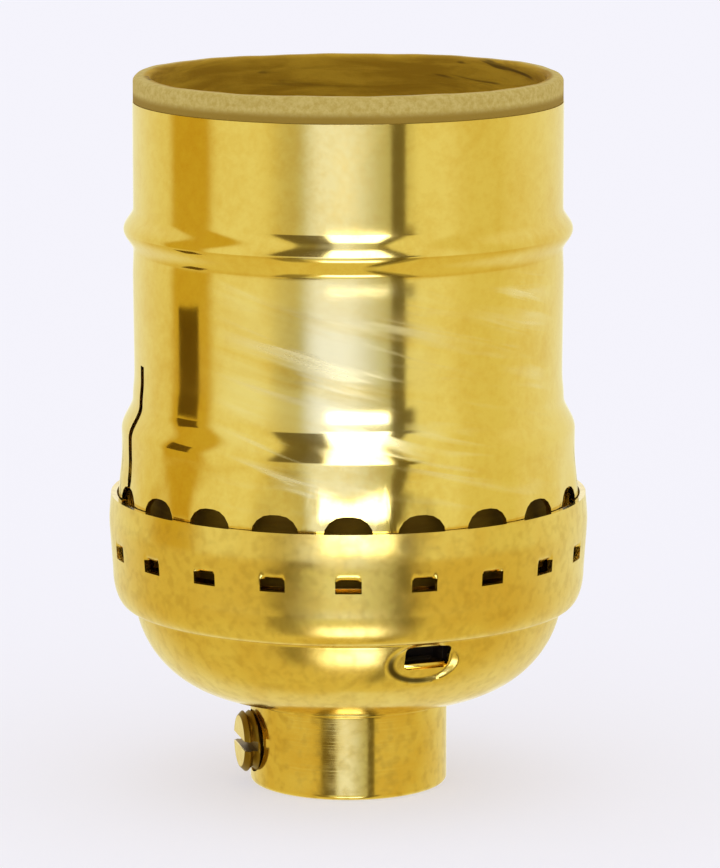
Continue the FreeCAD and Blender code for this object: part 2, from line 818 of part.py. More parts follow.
# Terminal plates: bent strips on the back walls of the pockets
def make_hot_plate():
    body = new_body("hot_terminal_plate")
    end = s.contact_rivet_place - s.leaf_tab
    profile = new_sketch(body, "hot_plate_profile", "XZ_Plane")
    foot = block_top_z - s.plate_drop
    outline(
        profile,
        (pocket_back, foot),
        (plate_face, foot),
        (plate_face, block_top_z - s.plate_bend),
        (plate_face - s.plate_bend, block_top_z, BEND),
        (end, block_top_z),
        (end, block_top_z - s.plate_thickness),
        (pocket_back, block_top_z - s.plate_thickness),
    )
    extrude(body, "Pad", "hot_plate_strip", profile, s.plate_width, "Symmetric")
    add_terminal_hole(body, 1)
    rivet = new_sketch(body, "hot_plate_rivet_hole", "XY_Plane", lift=block_top_z)
    circle(rivet, s.contact_rivet_place, 0, s.contact_rivet_radius + s.press_gap)
    extrude(body, "Pocket", "hot_plate_rivet_cut", rivet, s.plate_thickness * 2)
    return body


def make_neutral_plate():
    body = new_body("neutral_terminal_plate")
    end = plate_face + s.neutral_ear - s.plate_thickness
    profile = new_sketch(body, "neutral_plate_profile", "XZ_Plane")
    foot = block_top_z - s.plate_drop
    outline(
        profile,
        (-pocket_back, foot),
        (-plate_face, foot),
        (-plate_face, ceiling_z - s.plate_thickness),
        (-end, ceiling_z - s.plate_thickness),
        (-end, ceiling_z),
        (-pocket_back - s.plate_bend, ceiling_z),
        (-pocket_back, ceiling_z - s.plate_bend, BEND),
    )
    extrude(body, "Pad", "neutral_plate_strip", profile, s.plate_width, "Symmetric")
    add_terminal_hole(body, -1)
    rivet = new_sketch(body, "neutral_plate_rivet_hole", "XY_Plane", lift=ceiling_z)
    circle(rivet, -rivet_circle, 0, s.rivet_radius + s.press_gap)
    extrude(body, "Pocket", "neutral_plate_rivet_cut", rivet, s.plate_thickness * 2)
    return body


def add_terminal_hole(body, side):
    hole = new_sketch(body, "terminal_hole", "YZ_Plane")
    circle(hole, 0, terminal_z, s.terminal_radius + s.running_gap)
    extrude(body, "Pocket", "terminal_hole_cut", hole, plate_face * 1.2, reverse=side > 0)


# Terminal screws: binding heads, each screw's length measured outwards from the socket's axis
def make_terminal_screw(label, turn):
    body = new_body(label)
    seat = plate_face + s.seat_gap
    tip = seat - s.terminal_length
    rim = seat + s.terminal_head_height - s.terminal_dome
    top = seat + s.terminal_head_height
    profile = new_sketch(body, "terminal_profile", "XZ_Plane")
    outline(
        profile,
        (0, tip),
        (s.terminal_radius - s.terminal_dome, tip),
        (s.terminal_radius, tip + s.terminal_dome),
        (s.terminal_radius, seat),
        (s.terminal_head_radius, seat),
        (s.terminal_head_radius, rim),
        (s.terminal_head_radius - s.terminal_dome * 2, top),
        (0, top),
    )
    revolve(body, "terminal_turned", profile)
    slot = new_sketch(body, "terminal_slot", "XZ_Plane")
    box(slot, -s.terminal_slot_width / 2, s.terminal_slot_width / 2, top - s.terminal_slot_depth, top)
    extrude(body, "Pocket", "terminal_slot_cut", slot, s.terminal_head_radius * 2.2, "Symmetric")
    body.Placement = Placement(Vector(0, 0, terminal_z.value), Rotation(Vector(0, 1, 0), turn))
    tie(body, "Placement.Base.z", terminal_z)
    return body


# Centre contact: spring leaf, loose on its rivet so that it can rock down under a lamp
leaf_z = block_top_z + s.spring_gap
leaf_seat_z = leaf_z + s.leaf_thickness + s.spring_gap


def make_center_contact():
    body = new_body("center_contact")
    back = s.contact_rivet_place + s.leaf_tab
    bend = s.contact_rivet_place - s.leaf_tab
    crest = bend - s.leaf_run
    thick = s.leaf_thickness
    profile = new_sketch(body, "leaf_profile", "XZ_Plane")
    outline(
        profile,
        (back, leaf_z),
        (back, leaf_z + thick),
        (bend, leaf_z + thick),
        (crest, leaf_z + thick + s.leaf_rise),
        (crest - s.leaf_tip, leaf_z + thick + s.leaf_rise),
        (crest - s.leaf_tip, leaf_z + s.leaf_rise),
        (crest, leaf_z + s.leaf_rise),
        (bend, leaf_z),
    )
    extrude(body, "Pad", "leaf_strip", profile, s.leaf_width, "Symmetric")
    hole = new_sketch(body, "leaf_hole", "XY_Plane", lift=leaf_seat_z)
    circle(hole, s.contact_rivet_place, 0, s.contact_rivet_radius + s.leaf_hole_gap)
    extrude(body, "Pocket", "leaf_hole_cut", hole, s.spring_gap + thick * 2)
    return body


def make_contact_rivet():
    body = new_body("contact_rivet")
    foot = block_top_z - s.plate_thickness
    foot_end = foot - s.contact_rivet_head_height
    top = leaf_seat_z + s.contact_rivet_head_height
    profile = new_sketch(body, "contact_rivet_profile", "XZ_Plane")
    rivet_outline(profile, s.contact_rivet_place, s.contact_rivet_radius, s.contact_rivet_head_radius,
                  foot_end, foot, leaf_seat_z, top)
    revolve(body, "contact_rivet_turned", profile, "Edge1")
    return body


def check(parts):
    """Stop before anything is written if a feature failed, cut nothing or left a bad shape."""
    for thing in doc.Objects:
        if "Invalid" in thing.State or "Error" in thing.State:
            raise RuntimeError(f"{thing.Name} failed: {thing.State}")
        if thing.TypeId in ("PartDesign::Pocket", "PartDesign::Thickness"):
            if thing.Shape.Volume >= thing.BaseFeature.Shape.Volume - 1e-6:
                raise RuntimeError(f"{thing.Name} cuts nothing")
    for part in parts:
        if part.Shape.isNull() or not part.Shape.isValid():
            raise RuntimeError(f"{part.Label} has no valid shape")


parts = [
    make_hub(),
    make_set_screw(),
    make_cap(),
    make_outer_shell(),
    make_sleeve(),
    make_block(),
    make_disc(),
    make_screw_shell(),
    make_shell_rivets(),
    make_hot_plate(),
    make_neutral_plate(),
    make_terminal_screw("hot_terminal_screw", 90),
    make_terminal_screw("neutral_terminal_screw", -90),
    make_center_contact(),
    make_contact_rivet(),
]
doc.recompute()
check(parts)
os.makedirs("parts", exist_ok=True)
for part in parts:
    part.Shape.exportStep(f"parts/{part.Label}.step")
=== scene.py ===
import math

import bmesh
import bpy
import numpy as np
from mathutils import Matrix, Vector


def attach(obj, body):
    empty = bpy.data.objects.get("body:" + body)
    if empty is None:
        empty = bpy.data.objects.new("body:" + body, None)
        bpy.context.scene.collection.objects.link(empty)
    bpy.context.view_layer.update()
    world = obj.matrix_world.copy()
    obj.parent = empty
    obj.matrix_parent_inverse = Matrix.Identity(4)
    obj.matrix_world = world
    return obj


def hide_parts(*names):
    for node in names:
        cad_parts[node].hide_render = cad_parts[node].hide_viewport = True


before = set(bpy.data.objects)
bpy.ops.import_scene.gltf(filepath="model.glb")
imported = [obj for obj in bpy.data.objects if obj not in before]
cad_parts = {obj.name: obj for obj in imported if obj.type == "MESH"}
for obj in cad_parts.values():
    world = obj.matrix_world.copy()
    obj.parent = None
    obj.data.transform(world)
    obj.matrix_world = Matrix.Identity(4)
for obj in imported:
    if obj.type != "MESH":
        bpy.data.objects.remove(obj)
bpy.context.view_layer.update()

MM = 0.001
TURN = 2 * math.pi
DEGREES = 180 / math.pi

# Sizes in millimetres and degrees, the same as the solids have
SNAP_COUNT = 20
SNAP_STEP = 360 / SNAP_COUNT
SNAP_START = 176.0
SET_SCREW_TURN = math.radians(-9.0)
SET_SCREW_Z = 3.4
SET_SCREW_END = 8.7
CAP_FLOOR_Z = 7.2
LEDGE_Z = 14.2
RIM_Z = 22.9
SHELL_FOOT_Z = 17.4
SHELL_TOP_Z = 53.2
SLEEVE_TOP_Z = 55.25
SHELL_RADIUS = 16.5
SKIRT_RADIUS = 17.5
SHEET = 0.45

# Oval dish pressed around each locking window
PAD_Z = 12.45
PAD_SHIFT = 0.35
PAD_HALF_WIDTH = 3.0
PAD_HALF_HEIGHT = 1.75

# Points nearer than this become one: in a piece, between copies, along a seam and at a pole
WELD = 0.001
COPY_WELD = 0.002
SEAM_WELD = 0.003
POLE_WELD = 0.005

# Radius at which a section ends on the axis
ON_AXIS = 0.001


# Node expressions

class Wire:
    """An output in a node tree that takes part in plain arithmetic."""

    def __init__(self, tree, socket=None):
        self.tree = tree
        self.socket = socket

    def node(self, kind, sockets=None, out=0, **settings):
        """Add a node: its type, its sockets' values or links, the output to go on with, and its settings."""
        made = self.tree.nodes.new(kind)
        for name, value in settings.items():
            setattr(made, name, value)
        for key, value in (sockets or {}).items():
            if isinstance(value, Wire):
                self.tree.links.new(value.socket, made.inputs[key])
            else:
                made.inputs[key].default_value = value
        return Wire(self.tree, made.outputs[out] if made.outputs else None)

    def out(self, key):
        """Another output of the same node."""
        return Wire(self.tree, self.socket.node.outputs[key])

    def axes(self):
        """The three parts of a vector."""
        parts = self.node("ShaderNodeSeparateXYZ", {0: self})
        return parts.out("X"), parts.out("Y"), parts.out("Z")

    def math(self, operation, *others):
        """A maths node over this value and the others, in that order."""
        return self.node("ShaderNodeMath", dict(enumerate((self, *others))), operation=operation)

    def between(self, low, high):
        """0 below low, 1 above high, with a soft step between."""
        return self.node("ShaderNodeMapRange", {0: self, 1: low, 2: high}, interpolation_type="SMOOTHSTEP")

    def inside(self, low, high, soft):
        """1 between low and high, falling to 0 over soft on both sides."""
        return self.between(low - soft, low + soft) * (1 - self.between(high - soft, high + soft))

    def blend(self, first, second):
        """Colour that goes from first to second as this value goes from 0 to 1."""
        return self.node("ShaderNodeMix", {0: self, 6: first, 7: second}, out=2, data_type="RGBA")

    def noise(self, scale, detail=3.0, rough=0.5, distort=0.0):
        """Noise over the places that this vector gives."""
        return self.node("ShaderNodeTexNoise", {
            "Vector": self, "Scale": scale, "Detail": detail, "Roughness": rough, "Distortion": distort})

    def bump(self, depth, strength):
        """Grain of a surface from its heights, with the depth in millimetres."""
        return self.node("ShaderNodeBump", {"Height": self, "Distance": depth * MM, "Strength": strength})

    def __add__(self, other):
        return self.math("ADD", other)

    def __radd__(self, other):
        return self + other

    def __sub__(self, other):
        return self.math("SUBTRACT", other)

    def __rsub__(self, other):
        return self.node("ShaderNodeMath", {0: other, 1: self}, operation="SUBTRACT")

    def __mul__(self, other):
        return self.math("MULTIPLY", other)

    def __rmul__(self, other):
        return self * other

    def __truediv__(self, other):
        return self.math("DIVIDE", other)

    def __rtruediv__(self, other):
        return self.node("ShaderNodeMath", {0: other, 1: self}, operation="DIVIDE")


# Materials

def finish(name, sockets_of):
    """A material whose main shader takes its sockets from a function of the place on the surface."""
    made = bpy.data.materials.new(name)
    made.use_nodes = True
    made.node_tree.nodes.clear()
    place = Wire(made.node_tree).node("ShaderNodeTexCoord", out="Object")
    shader = place.node("ShaderNodeBsdfPrincipled", sockets_of(place))
    place.node("ShaderNodeOutputMaterial", {"Surface": shader})
    return made


def millimetres(place):
    """The three parts of a place, in millimetres."""
    return [part / MM for part in place.axes()]


def unrolled(place, tilt, stretch):
    """Coordinates of the wall laid flat, in millimetres, turned by tilt and drawn out along the turn."""
    x, y, up = millimetres(place)
    around = y.math("ARCTAN2", x) * SHELL_RADIUS
    along = around * math.cos(tilt) + up * math.sin(tilt)
    across = up * math.cos(tilt) - around * math.sin(tilt)
    return place.node("ShaderNodeCombineXYZ", {"X": along / stretch, "Y": across})


# Colours of the brass, from clean to dull, and of the shade painted on it
LEMON = (0.88, 0.70, 0.24, 1)
AMBER = (0.80, 0.56, 0.125, 1)
RUBBED = (0.93, 0.82, 0.44, 1)
PALE = (0.94, 0.85, 0.50, 1)
UMBER = (0.49, 0.32, 0.05, 1)
DISH_PAINTED_SHADE = (0.05, 0.03, 0.003, 1)
SCREW_PAINTED_SHADE = (0.23, 0.14, 0.02, 1)

# Colours of the sleeve's inside and outside, the washer and the moulding
FIBRE_DARK = (0.32, 0.175, 0.005, 1)
FIBRE_LIGHT = (0.48, 0.290, 0.016, 1)
FIBRE_STAIN = (0.05, 0.025, 0.001, 1)
# Painted shade for the sleeve's inside, low down in the shell
FIBRE_PAINTED_SHADE = (0.06, 0.03, 0.004, 1)
STRAW_DARK = (0.46, 0.33, 0.07, 1)
STRAW_LIGHT = (0.58, 0.45, 0.14, 1)
# Painted shade at the foot of the sleeve's lip, next to the shell's edge
STRAW_PAINTED_SHADE = (0.30, 0.19, 0.025, 1)
WASHER_DARK = (0.20, 0.11, 0.06, 1)
WASHER_LIGHT = (0.32, 0.20, 0.11, 1)
RESIN_DARK = (0.012, 0.009, 0.008, 1)
RESIN_LIGHT = (0.040, 0.026, 0.020, 1)

# Depth of each surface's grain
METAL_GRAIN = 0.03
WAXED_GRAIN = 0.08
PRESSED_GRAIN = 0.06
RESIN_GRAIN = 0.04

# Where the shell is smeared and rubbed bright, round its axis and up it, and how the smears run
HANDLED_TURN = (-142, -48)
HANDLED_Z = (24.5, 41.3)
RUBBED_TURN = (-150, -92)
RUBBED_Z = (29.0, 41.3)
SMEAR_TILT = math.radians(-13)
SMEAR_STRETCH = 9.0

# Painted shade on the set screw: its depth from the end, half width in the slot and radius on the thread
SLOT_SHADE_DEPTH = (0.05, 0.15)
SLOT_SHADE_HALF_WIDTH = (0.40, 0.43)
THREAD_SHADE_RADIUS = (1.92, 2.06)

# Where the sleeve's inside turns into its outside, where it is stained, and where its inside is painted with
# shade
SLEEVE_SKIN = (15.4, 15.8)
SLEEVE_GRAIN_STRETCH = 7.0
STAIN_Z = (51.5, 53.5)
UNLIT_Z = (30, 46)


def polished_brass(place):
    tarnish = place.noise(55.0, 4.0, 0.6)
    cloud = place.noise(190.0, 4.0, 0.65)
    speck = place.noise(1300.0, 4.0, 0.7)
    bent = unrolled(place, SMEAR_TILT, SMEAR_STRETCH)
    x, y, z = millimetres(place)
    around = y.math("ARCTAN2", x) * DEGREES
    handled = around.inside(*HANDLED_TURN, 10) * z.inside(*HANDLED_Z, 0.8)
    rubbed = around.inside(*RUBBED_TURN, 10) * z.inside(*RUBBED_Z, 1.2)
    smear = bent.noise(0.75, 2.0, 0.5, 0.7).between(0.50, 0.72)
    scratch = bent.noise(1.9, 3.0, 0.6, 0.6).between(0.58, 0.74)
    patchy = place.noise(60.0, 2.0, 0.5).between(0.34, 0.56)
    haze = bent.noise(0.35, 3.0, 0.5, 0.5).between(0.30, 0.66) * rubbed
    streak = (smear + scratch * 0.25) * handled * patchy
    dull = tarnish.between(0.38, 0.70) * 0.5 + cloud.between(0.42, 0.72) * 0.4 + (speck - 0.5) * 1.6
    color = (haze * 0.85).blend(dull.blend(LEMON, AMBER), RUBBED)
    return {
        "Base Color": (streak * 0.75).blend(color, PALE),
        "Metallic": 1.0 - streak * 0.22,
        "Roughness": 0.07 + cloud.between(0.35, 0.75) * 0.06 + streak * 0.20 + speck * 0.03,
        "Coat Weight": 0.3,
        "Coat Roughness": 0.05,
        "Normal": (cloud * 0.7 + speck * 0.1).bump(METAL_GRAIN, 0.30),
    }


def satin_brass(place):
    tarnish = place.noise(75.0, 5.0, 0.65)
    grain = place.noise(1300.0, 1.0, 0.5)
    wide = place.noise(380.0, 3.0, 0.5)
    color = (tarnish.between(0.34, 0.70) * 0.65 + wide.between(0.40, 0.68) * 0.30).blend(LEMON, AMBER)
    color = (grain.between(0.40, 0.75) * 0.28).blend(color, UMBER)
    return {
        # Painted shade on the low border of each dish around a locking window
        "Base Color": (pad_painted_shade(place) * 0.95).blend(color, DISH_PAINTED_SHADE),
        "Metallic": 1.0,
        "Roughness": 0.14 + wide.between(0.35, 0.7) * 0.08 + grain * 0.06,
        "Coat Weight": 0.25,
        "Coat Roughness": 0.10,
        "Normal": (wide + grain * 0.35).bump(METAL_GRAIN, 0.35),
    }


def pad_painted_shade(place):
    """Where shade is painted: a dark crescent on the low border of the dishes around the locking windows."""
    x, y, z = millimetres(place)
    side = y.math("SIGN")
    across = (x - side * PAD_SHIFT) / PAD_HALF_WIDTH
    up = (z - PAD_Z) / PAD_HALF_HEIGHT
    away = (across * across + up * up).math("SQRT")
    return away.inside(0.74, 0.95, 0.07) * (across * side * 0.7 - up * 0.7).between(0.0, 0.6)


def turned_brass(place):
    height = millimetres(place)[2]
    rings = place.node("ShaderNodeTexNoise", {"W": height, "Scale": 6.0}, noise_dimensions="1D")
    speck = place.noise(1200.0, 1.0, 0.5)
    wide = place.noise(240.0, 4.0, 0.6)
    color = (wide.between(0.34, 0.68) * 0.8).blend(LEMON, AMBER)
    return {
        "Base Color": (speck.between(0.42, 0.75) * 0.38).blend(color, UMBER),
        "Metallic": 1.0,
        "Roughness": 0.10 + speck.between(0.4, 0.7) * 0.08,
        "Coat Weight": 0.2,
        "Normal": (rings * 0.25 + speck * 0.4).bump(METAL_GRAIN, 0.30),
    }


def set_screw_brass(place):
    """Bright on the driving end, with painted shade on the thread and in the slot."""
    x, y, z = millimetres(place)
    cosine, sine = math.cos(SET_SCREW_TURN), math.sin(SET_SCREW_TURN)
    up = z - SET_SCREW_Z
    side = x * sine - y * cosine
    depth = SET_SCREW_END + x * cosine + y * sine
    away = (side * side + up * up).math("SQRT")
    # Painted shade: the inside of the slot and the thread are darkened
    slot = depth.between(*SLOT_SHADE_DEPTH) * (1 - up.math("ABSOLUTE").between(*SLOT_SHADE_HALF_WIDTH))
    painted_shade = slot.math("MAXIMUM", away.between(*THREAD_SHADE_RADIUS))
    mottle = place.noise(900.0, 3.0, 0.6)
    clean = mottle.between(0.3, 0.7).blend(LEMON, AMBER)
    return {
        "Base Color": painted_shade.blend(clean, SCREW_PAINTED_SHADE),
        "Metallic": 1.0,
        "Roughness": 0.14 + painted_shade * 0.24 + mottle * 0.06,
        "Normal": mottle.bump(METAL_GRAIN, 0.3),
    }


def plain_brass(color, rough):
    """Maker of a plain metal finish in one colour, dull in patches."""
    dull = tuple(c * 0.55 for c in color)

    def sockets_of(place):
        wide = place.noise(300.0, 4.0, 0.6)
        fine = place.noise(1800.0, 3.0, 0.6)
        return {
            "Base Color": (wide.between(0.42, 0.78) * 0.6).blend((*color, 1), (*dull, 1)),
            "Metallic": 1.0,
            "Roughness": rough + fine * 0.15,
            "Normal": fine.bump(METAL_GRAIN, 0.3),
        }
    return sockets_of


def waxed_fibre(place):
    """Straw-coloured on the cut lip outside, and brown with wax inside; painted shade darkens the lip's foot
    and the inside low down.
    """
    flat = unrolled(place, 0.0, SLEEVE_GRAIN_STRETCH)
    streak = flat.noise(0.8, 5.0, 0.65, 0.6)
    fuzz = place.noise(2600.0, 4.0, 0.7)
    x, y, z = millimetres(place)
    radius = (x * x + y * y).math("SQRT")
    outside = radius.between(*SLEEVE_SKIN) * z.between(SHELL_TOP_Z - 0.1, SHELL_TOP_Z)
    edge = z.between(SHELL_TOP_Z + 0.35, SHELL_TOP_Z + 0.95)
    stain = flat.noise(0.45, 3.0, 0.5, 1.5).between(0.60, 0.68) * z.between(*STAIN_Z)
    brown = streak.between(0.34, 0.66).blend(FIBRE_DARK, FIBRE_LIGHT)
    brown = (stain * 0.75).blend(brown, FIBRE_STAIN)
    # Painted shade: the inside darkens towards the bottom, deep in the shell
    brown = ((1 - z.between(*UNLIT_Z)) * 0.5).blend(brown, FIBRE_PAINTED_SHADE)
    straw = fuzz.between(0.3, 0.7).blend(STRAW_DARK, STRAW_LIGHT)
    # Painted shade: the lip is darker at its foot, just above the shell's edge
    straw = edge.blend(STRAW_PAINTED_SHADE, straw)
    return {
        "Base Color": outside.blend(brown, straw),
        "Roughness": 0.62 + fuzz * 0.2,
        "Specular IOR Level": 0.15,
        "Normal": (streak * 0.5 + fuzz * 0.5).bump(WAXED_GRAIN, 0.5),
    }


def pressed_fibre(place):
    fuzz = place.noise(1500.0, 5.0, 0.7)
    wide = place.noise(200.0, 3.0, 0.5)
    return {
        "Base Color": (wide * 0.6 + fuzz * 0.4).between(0.35, 0.65).blend(WASHER_DARK, WASHER_LIGHT),
        "Roughness": 0.7 + fuzz * 0.15,
        "Normal": fuzz.bump(PRESSED_GRAIN, 0.4),
    }


def phenolic(place):
    flow = place.noise(180.0, 5.0, 0.6, 1.2)
    fine = place.noise(1400.0, 3.0, 0.6)
    return {
        "Base Color": flow.between(0.35, 0.7).blend(RESIN_DARK, RESIN_LIGHT),
        "Roughness": 0.28 + fine.between(0.4, 0.7) * 0.18,
        "Normal": (flow * 0.5 + fine * 0.5).bump(RESIN_GRAIN, 0.35),
    }


SHELL_BRASS = finish("polished_brass", polished_brass)
CAP_BRASS = finish("satin_brass", satin_brass)
HUB_BRASS = finish("turned_brass", turned_brass)
SET_SCREW_BRASS = finish("set_screw_brass", set_screw_brass)
SCREW_BRASS = finish("screw_brass", plain_brass((0.76, 0.56, 0.17), 0.16))
THREAD_BRASS = finish("rolled_brass", plain_brass((0.78, 0.57, 0.16), 0.14))
LEAF_BRONZE = finish("spring_bronze", plain_brass((0.70, 0.42, 0.16), 0.18))
PLATE_BRASS = finish("plate_brass", plain_brass((0.72, 0.53, 0.17), 0.22))
NICKEL = finish("nickel", plain_brass((0.66, 0.64, 0.60), 0.16))
SLEEVE_FIBRE = finish("waxed_fibre", waxed_fibre)
WASHER_FIBRE = finish("pressed_fibre", pressed_fibre)
PHENOLIC = finish("phenolic", phenolic)


# Geometry trees

def new_tree(name, *inputs):
    """A geometry tree with named inputs; returns it with a wire on its input node."""
    tree = bpy.data.node_groups.new(name, "GeometryNodeTree")
    tree.interface.new_socket("Geometry", in_out="OUTPUT", socket_type="NodeSocketGeometry")
    for label, kind in inputs:
        tree.interface.new_socket(label, in_out="INPUT", socket_type=f"NodeSocket{kind}")
    return tree, Wire(tree).node("NodeGroupInput")


def close_tree(given, geometry):
    """End a tree in plain, painted geometry."""
    real = given.node("GeometryNodeRealizeInstances", {0: geometry})
    merged = given.node("GeometryNodeMergeByDistance", {"Geometry": real, "Distance": COPY_WELD * MM})
    painted = given.node("GeometryNodeSetMaterial", {"Geometry": merged, "Material": given.out("Finish")})
    given.node("NodeGroupOutput", {"Geometry": painted})


def copies_tree():
    """Copies of a mesh, evenly spaced around the socket's axis."""
    tree, given = new_tree(
        "copies_round_axis", ("Geometry", "Geometry"), ("Count", "Int"), ("Finish", "Material"))
    points = given.node("GeometryNodePoints", {"Count": given.out("Count")})
    turn = given.node("GeometryNodeInputIndex") * TURN / given.out("Count")
    rotation = given.node("ShaderNodeCombineXYZ", {"Z": turn})
    copies = given.node("GeometryNodeInstanceOnPoints", {
        "Points": points, "Instance": given.out("Geometry"), "Rotation": rotation})
    close_tree(given, copies)
    return tree


def thread_tree():
    """A right-hand thread rolled or cut into a wall: each point moves in or out along a helical wave."""
    lengths = ("Low", "High", "Run Out", "Pitch", "Depth", "Wall Radius", "Wall Reach")
    shares = ("Phase", "Roundness", "Inward Share")
    tree, given = new_tree(
        "thread", ("Geometry", "Geometry"), *((label, "Float") for label in lengths + shares),
        ("Finish", "Material"))
    x, y, z = given.node("GeometryNodeInputPosition").axes()
    radius = (x * x + y * y).math("SQRT")
    turns = z / given.out("Pitch") - y.math("ARCTAN2", x) / TURN + given.out("Phase")
    phase = turns.math("FRACT")
    ridge = 1 - (phase * 2 - 1).math("ABSOLUTE")
    wave = 0.5 - 0.5 * (phase * TURN).math("COSINE")
    shape = ridge + (wave - ridge) * given.out("Roundness") - given.out("Inward Share")
    low, high, run = given.out("Low"), given.out("High"), given.out("Run Out")
    along = z.between(low, low + run) * (1 - z.between(high - run, high))
    away = radius - given.out("Wall Radius")
    near = given.out("Wall Reach").math("GREATER_THAN", away.math("ABSOLUTE"))
    pushed = (radius + shape * along * near * given.out("Depth")) / radius
    place = given.node("ShaderNodeCombineXYZ", {"X": x * pushed, "Y": y * pushed, "Z": z})
    close_tree(given, given.node("GeometryNodeSetPosition", {
        "Geometry": given.out("Geometry"), "Position": place}))
    return tree


COPIES = copies_tree()
THREAD = thread_tree()


def placed(name, data):
    """A new object in the scene."""
    made = bpy.data.objects.new(name, data)
    bpy.context.scene.collection.objects.link(made)
    return made


def grow(mesh, tree, **inputs):
    """Run a tree over a mesh and keep the result as a plain mesh."""
    holder = placed("holder", mesh)
    modifier = holder.modifiers.new("tree", "NODES")
    modifier.node_group = tree
    for item in tree.interface.items_tree:
        label = item.name.lower().replace(" ", "_")
        if item.in_out == "INPUT" and label in inputs:
            modifier[item.identifier] = inputs[label]
    return plain_mesh(holder)


def plain_mesh(holder):
    """The mesh that an object's modifiers make; the object goes."""
    depsgraph = bpy.context.evaluated_depsgraph_get()
    made = bpy.data.meshes.new_from_object(holder.evaluated_get(depsgraph))
    bpy.data.objects.remove(holder)
    return made


def threaded(mesh, finish_used, roundness, phase=0.0, inward_share=0.0, **lengths):
    """Put a thread on a turned mesh, with its lengths in millimetres."""
    inputs = {label: length * MM for label, length in lengths.items()}
    made = grow(mesh, THREAD, roundness=roundness, phase=phase, inward_share=inward_share, finish=finish_used,
                **inputs)
    return edit(made, face_out)


# Meshes, drawn in millimetres

SHARP_ANGLE = 40


def eased(share):
    """A share from 0 to 1 with a soft start and end."""
    share = np.clip(share, 0, 1)
    return share * share * (3 - 2 * share)


def fallen(share):
    """Half a cosine wave, from 1 at a share of 0 down to 0 at a share of 1."""
    return 0.5 * (1 + np.cos(math.pi * np.clip(share, 0, 1)))


def stepped(*marks):
    """Heights from mark to mark, where each mark has the number of steps up to the next one."""
    runs = [np.linspace(low, high, steps + 1)[:-1] for (low, steps), (high, _) in zip(marks, marks[1:])]
    return np.append(np.concatenate(runs), marks[-1][0])


def grid_mesh(points, wrap=False, loop=False, keep=None):
    """Quads over a grid of points; wrap closes the columns into a ring and loop closes the rows."""
    rows, columns = points.shape[:2]
    index = np.arange(rows * columns).reshape(rows, columns)
    if wrap:
        index = np.column_stack([index, index[:, :1]])
    if loop:
        index = np.vstack([index, index[:1]])
    quads = np.stack([index[:-1, :-1], index[:-1, 1:], index[1:, 1:], index[1:, :-1]], axis=-1)
    quads = quads.reshape(-1, 4) if keep is None else quads[keep]
    mesh = bpy.data.meshes.new("grid")
    mesh.from_pydata((points.reshape(-1, 3) * MM).tolist(), [], quads.tolist())
    return mesh


def turned(radii, heights, angles):
    """Points on a surface of revolution: one row for each radius and height, one column for each angle."""
    radii, heights, angles = (np.asarray(values, float) for values in (radii, heights, angles))
    radii = np.broadcast_to(radii if radii.ndim == 2 else radii[:, None], (len(heights), len(angles)))
    return np.stack([
        radii * np.cos(angles), radii * np.sin(angles),
        np.broadcast_to(heights[:, None], radii.shape)], axis=-1)


def ring_angles(count):
    return np.arange(count) * TURN / count


def arc(center, radius, start, end, steps):
    """Points along an arc, with angles in degrees."""
    angles = np.radians(np.linspace(start, end, steps + 1))
    return [(center[0] + radius * math.cos(a), center[1] + radius * math.sin(a)) for a in angles]


def filled(points, step):
    """A path with points added along its long straight runs."""
    path = [points[0]]
    for start, end in zip(points, points[1:]):
        count = max(1, math.ceil(math.dist(start, end) / step))
        path += [tuple(np.array(start) + (np.array(end) - start) * n / count) for n in range(1, count + 1)]
    return path


def rounded(corners, step, segments=5):
    """A closed path through corners (radius, height, rounding), each cut back by an arc."""
    path = []
    count = len(corners)
    for n, (r, z, cut_back) in enumerate(corners):
        here = np.array((r, z))
        if cut_back == 0:
            path.append(tuple(here))
            continue
        before = np.array(corners[n - 1][:2]) - here
        after = np.array(corners[(n + 1) % count][:2]) - here
        before /= np.linalg.norm(before)
        after /= np.linalg.norm(after)
        half = math.acos(float(np.clip(before @ after, -1, 1))) / 2
        reach = cut_back / math.tan(half)
        middle = (before + after) / np.linalg.norm(before + after)
        center = here + middle * cut_back / math.sin(half)
        first = here + before * reach - center
        last = here + after * reach - center
        turn = math.atan2(first[0] * last[1] - first[1] * last[0], first @ last)
        for k in range(segments + 1):
            a = turn * k / segments
            path.append((center[0] + first[0] * math.cos(a) - first[1] * math.sin(a),
                         center[1] + first[0] * math.sin(a) + first[1] * math.cos(a)))
    closed = filled(path + path[:1], step)
    return closed[:-1]


def lathe(corners, columns, step):
    """A closed solid of revolution from its section; a section that ends on the axis closes in a point."""
    radii, heights = zip(*rounded(corners, step))
    mesh = grid_mesh(turned(radii, heights, ring_angles(columns)), wrap=True, loop=True)

    def close_poles(working):
        poles = [vertex for vertex in working.verts if vertex.co.xy.length < 2 * ON_AXIS * MM]
        bmesh.ops.remove_doubles(working, verts=poles, dist=POLE_WELD * MM)
        bare = [edge for edge in working.edges if not edge.link_faces]
        bmesh.ops.delete(working, geom=bare, context="EDGES")
        loose = [vertex for vertex in working.verts if not vertex.link_faces]
        bmesh.ops.delete(working, geom=loose, context="VERTS")
    return edit(mesh, close_poles)


def edit(mesh, change):
    """Open a mesh for editing, apply a change to it and close it again."""
    working = bmesh.new()
    working.from_mesh(mesh)
    change(working)
    working.to_mesh(mesh)
    working.free()
    mesh.update()
    return mesh


def face_out(working):
    bmesh.ops.remove_doubles(working, verts=working.verts, dist=WELD * MM)
    bmesh.ops.recalc_face_normals(working, faces=working.faces)


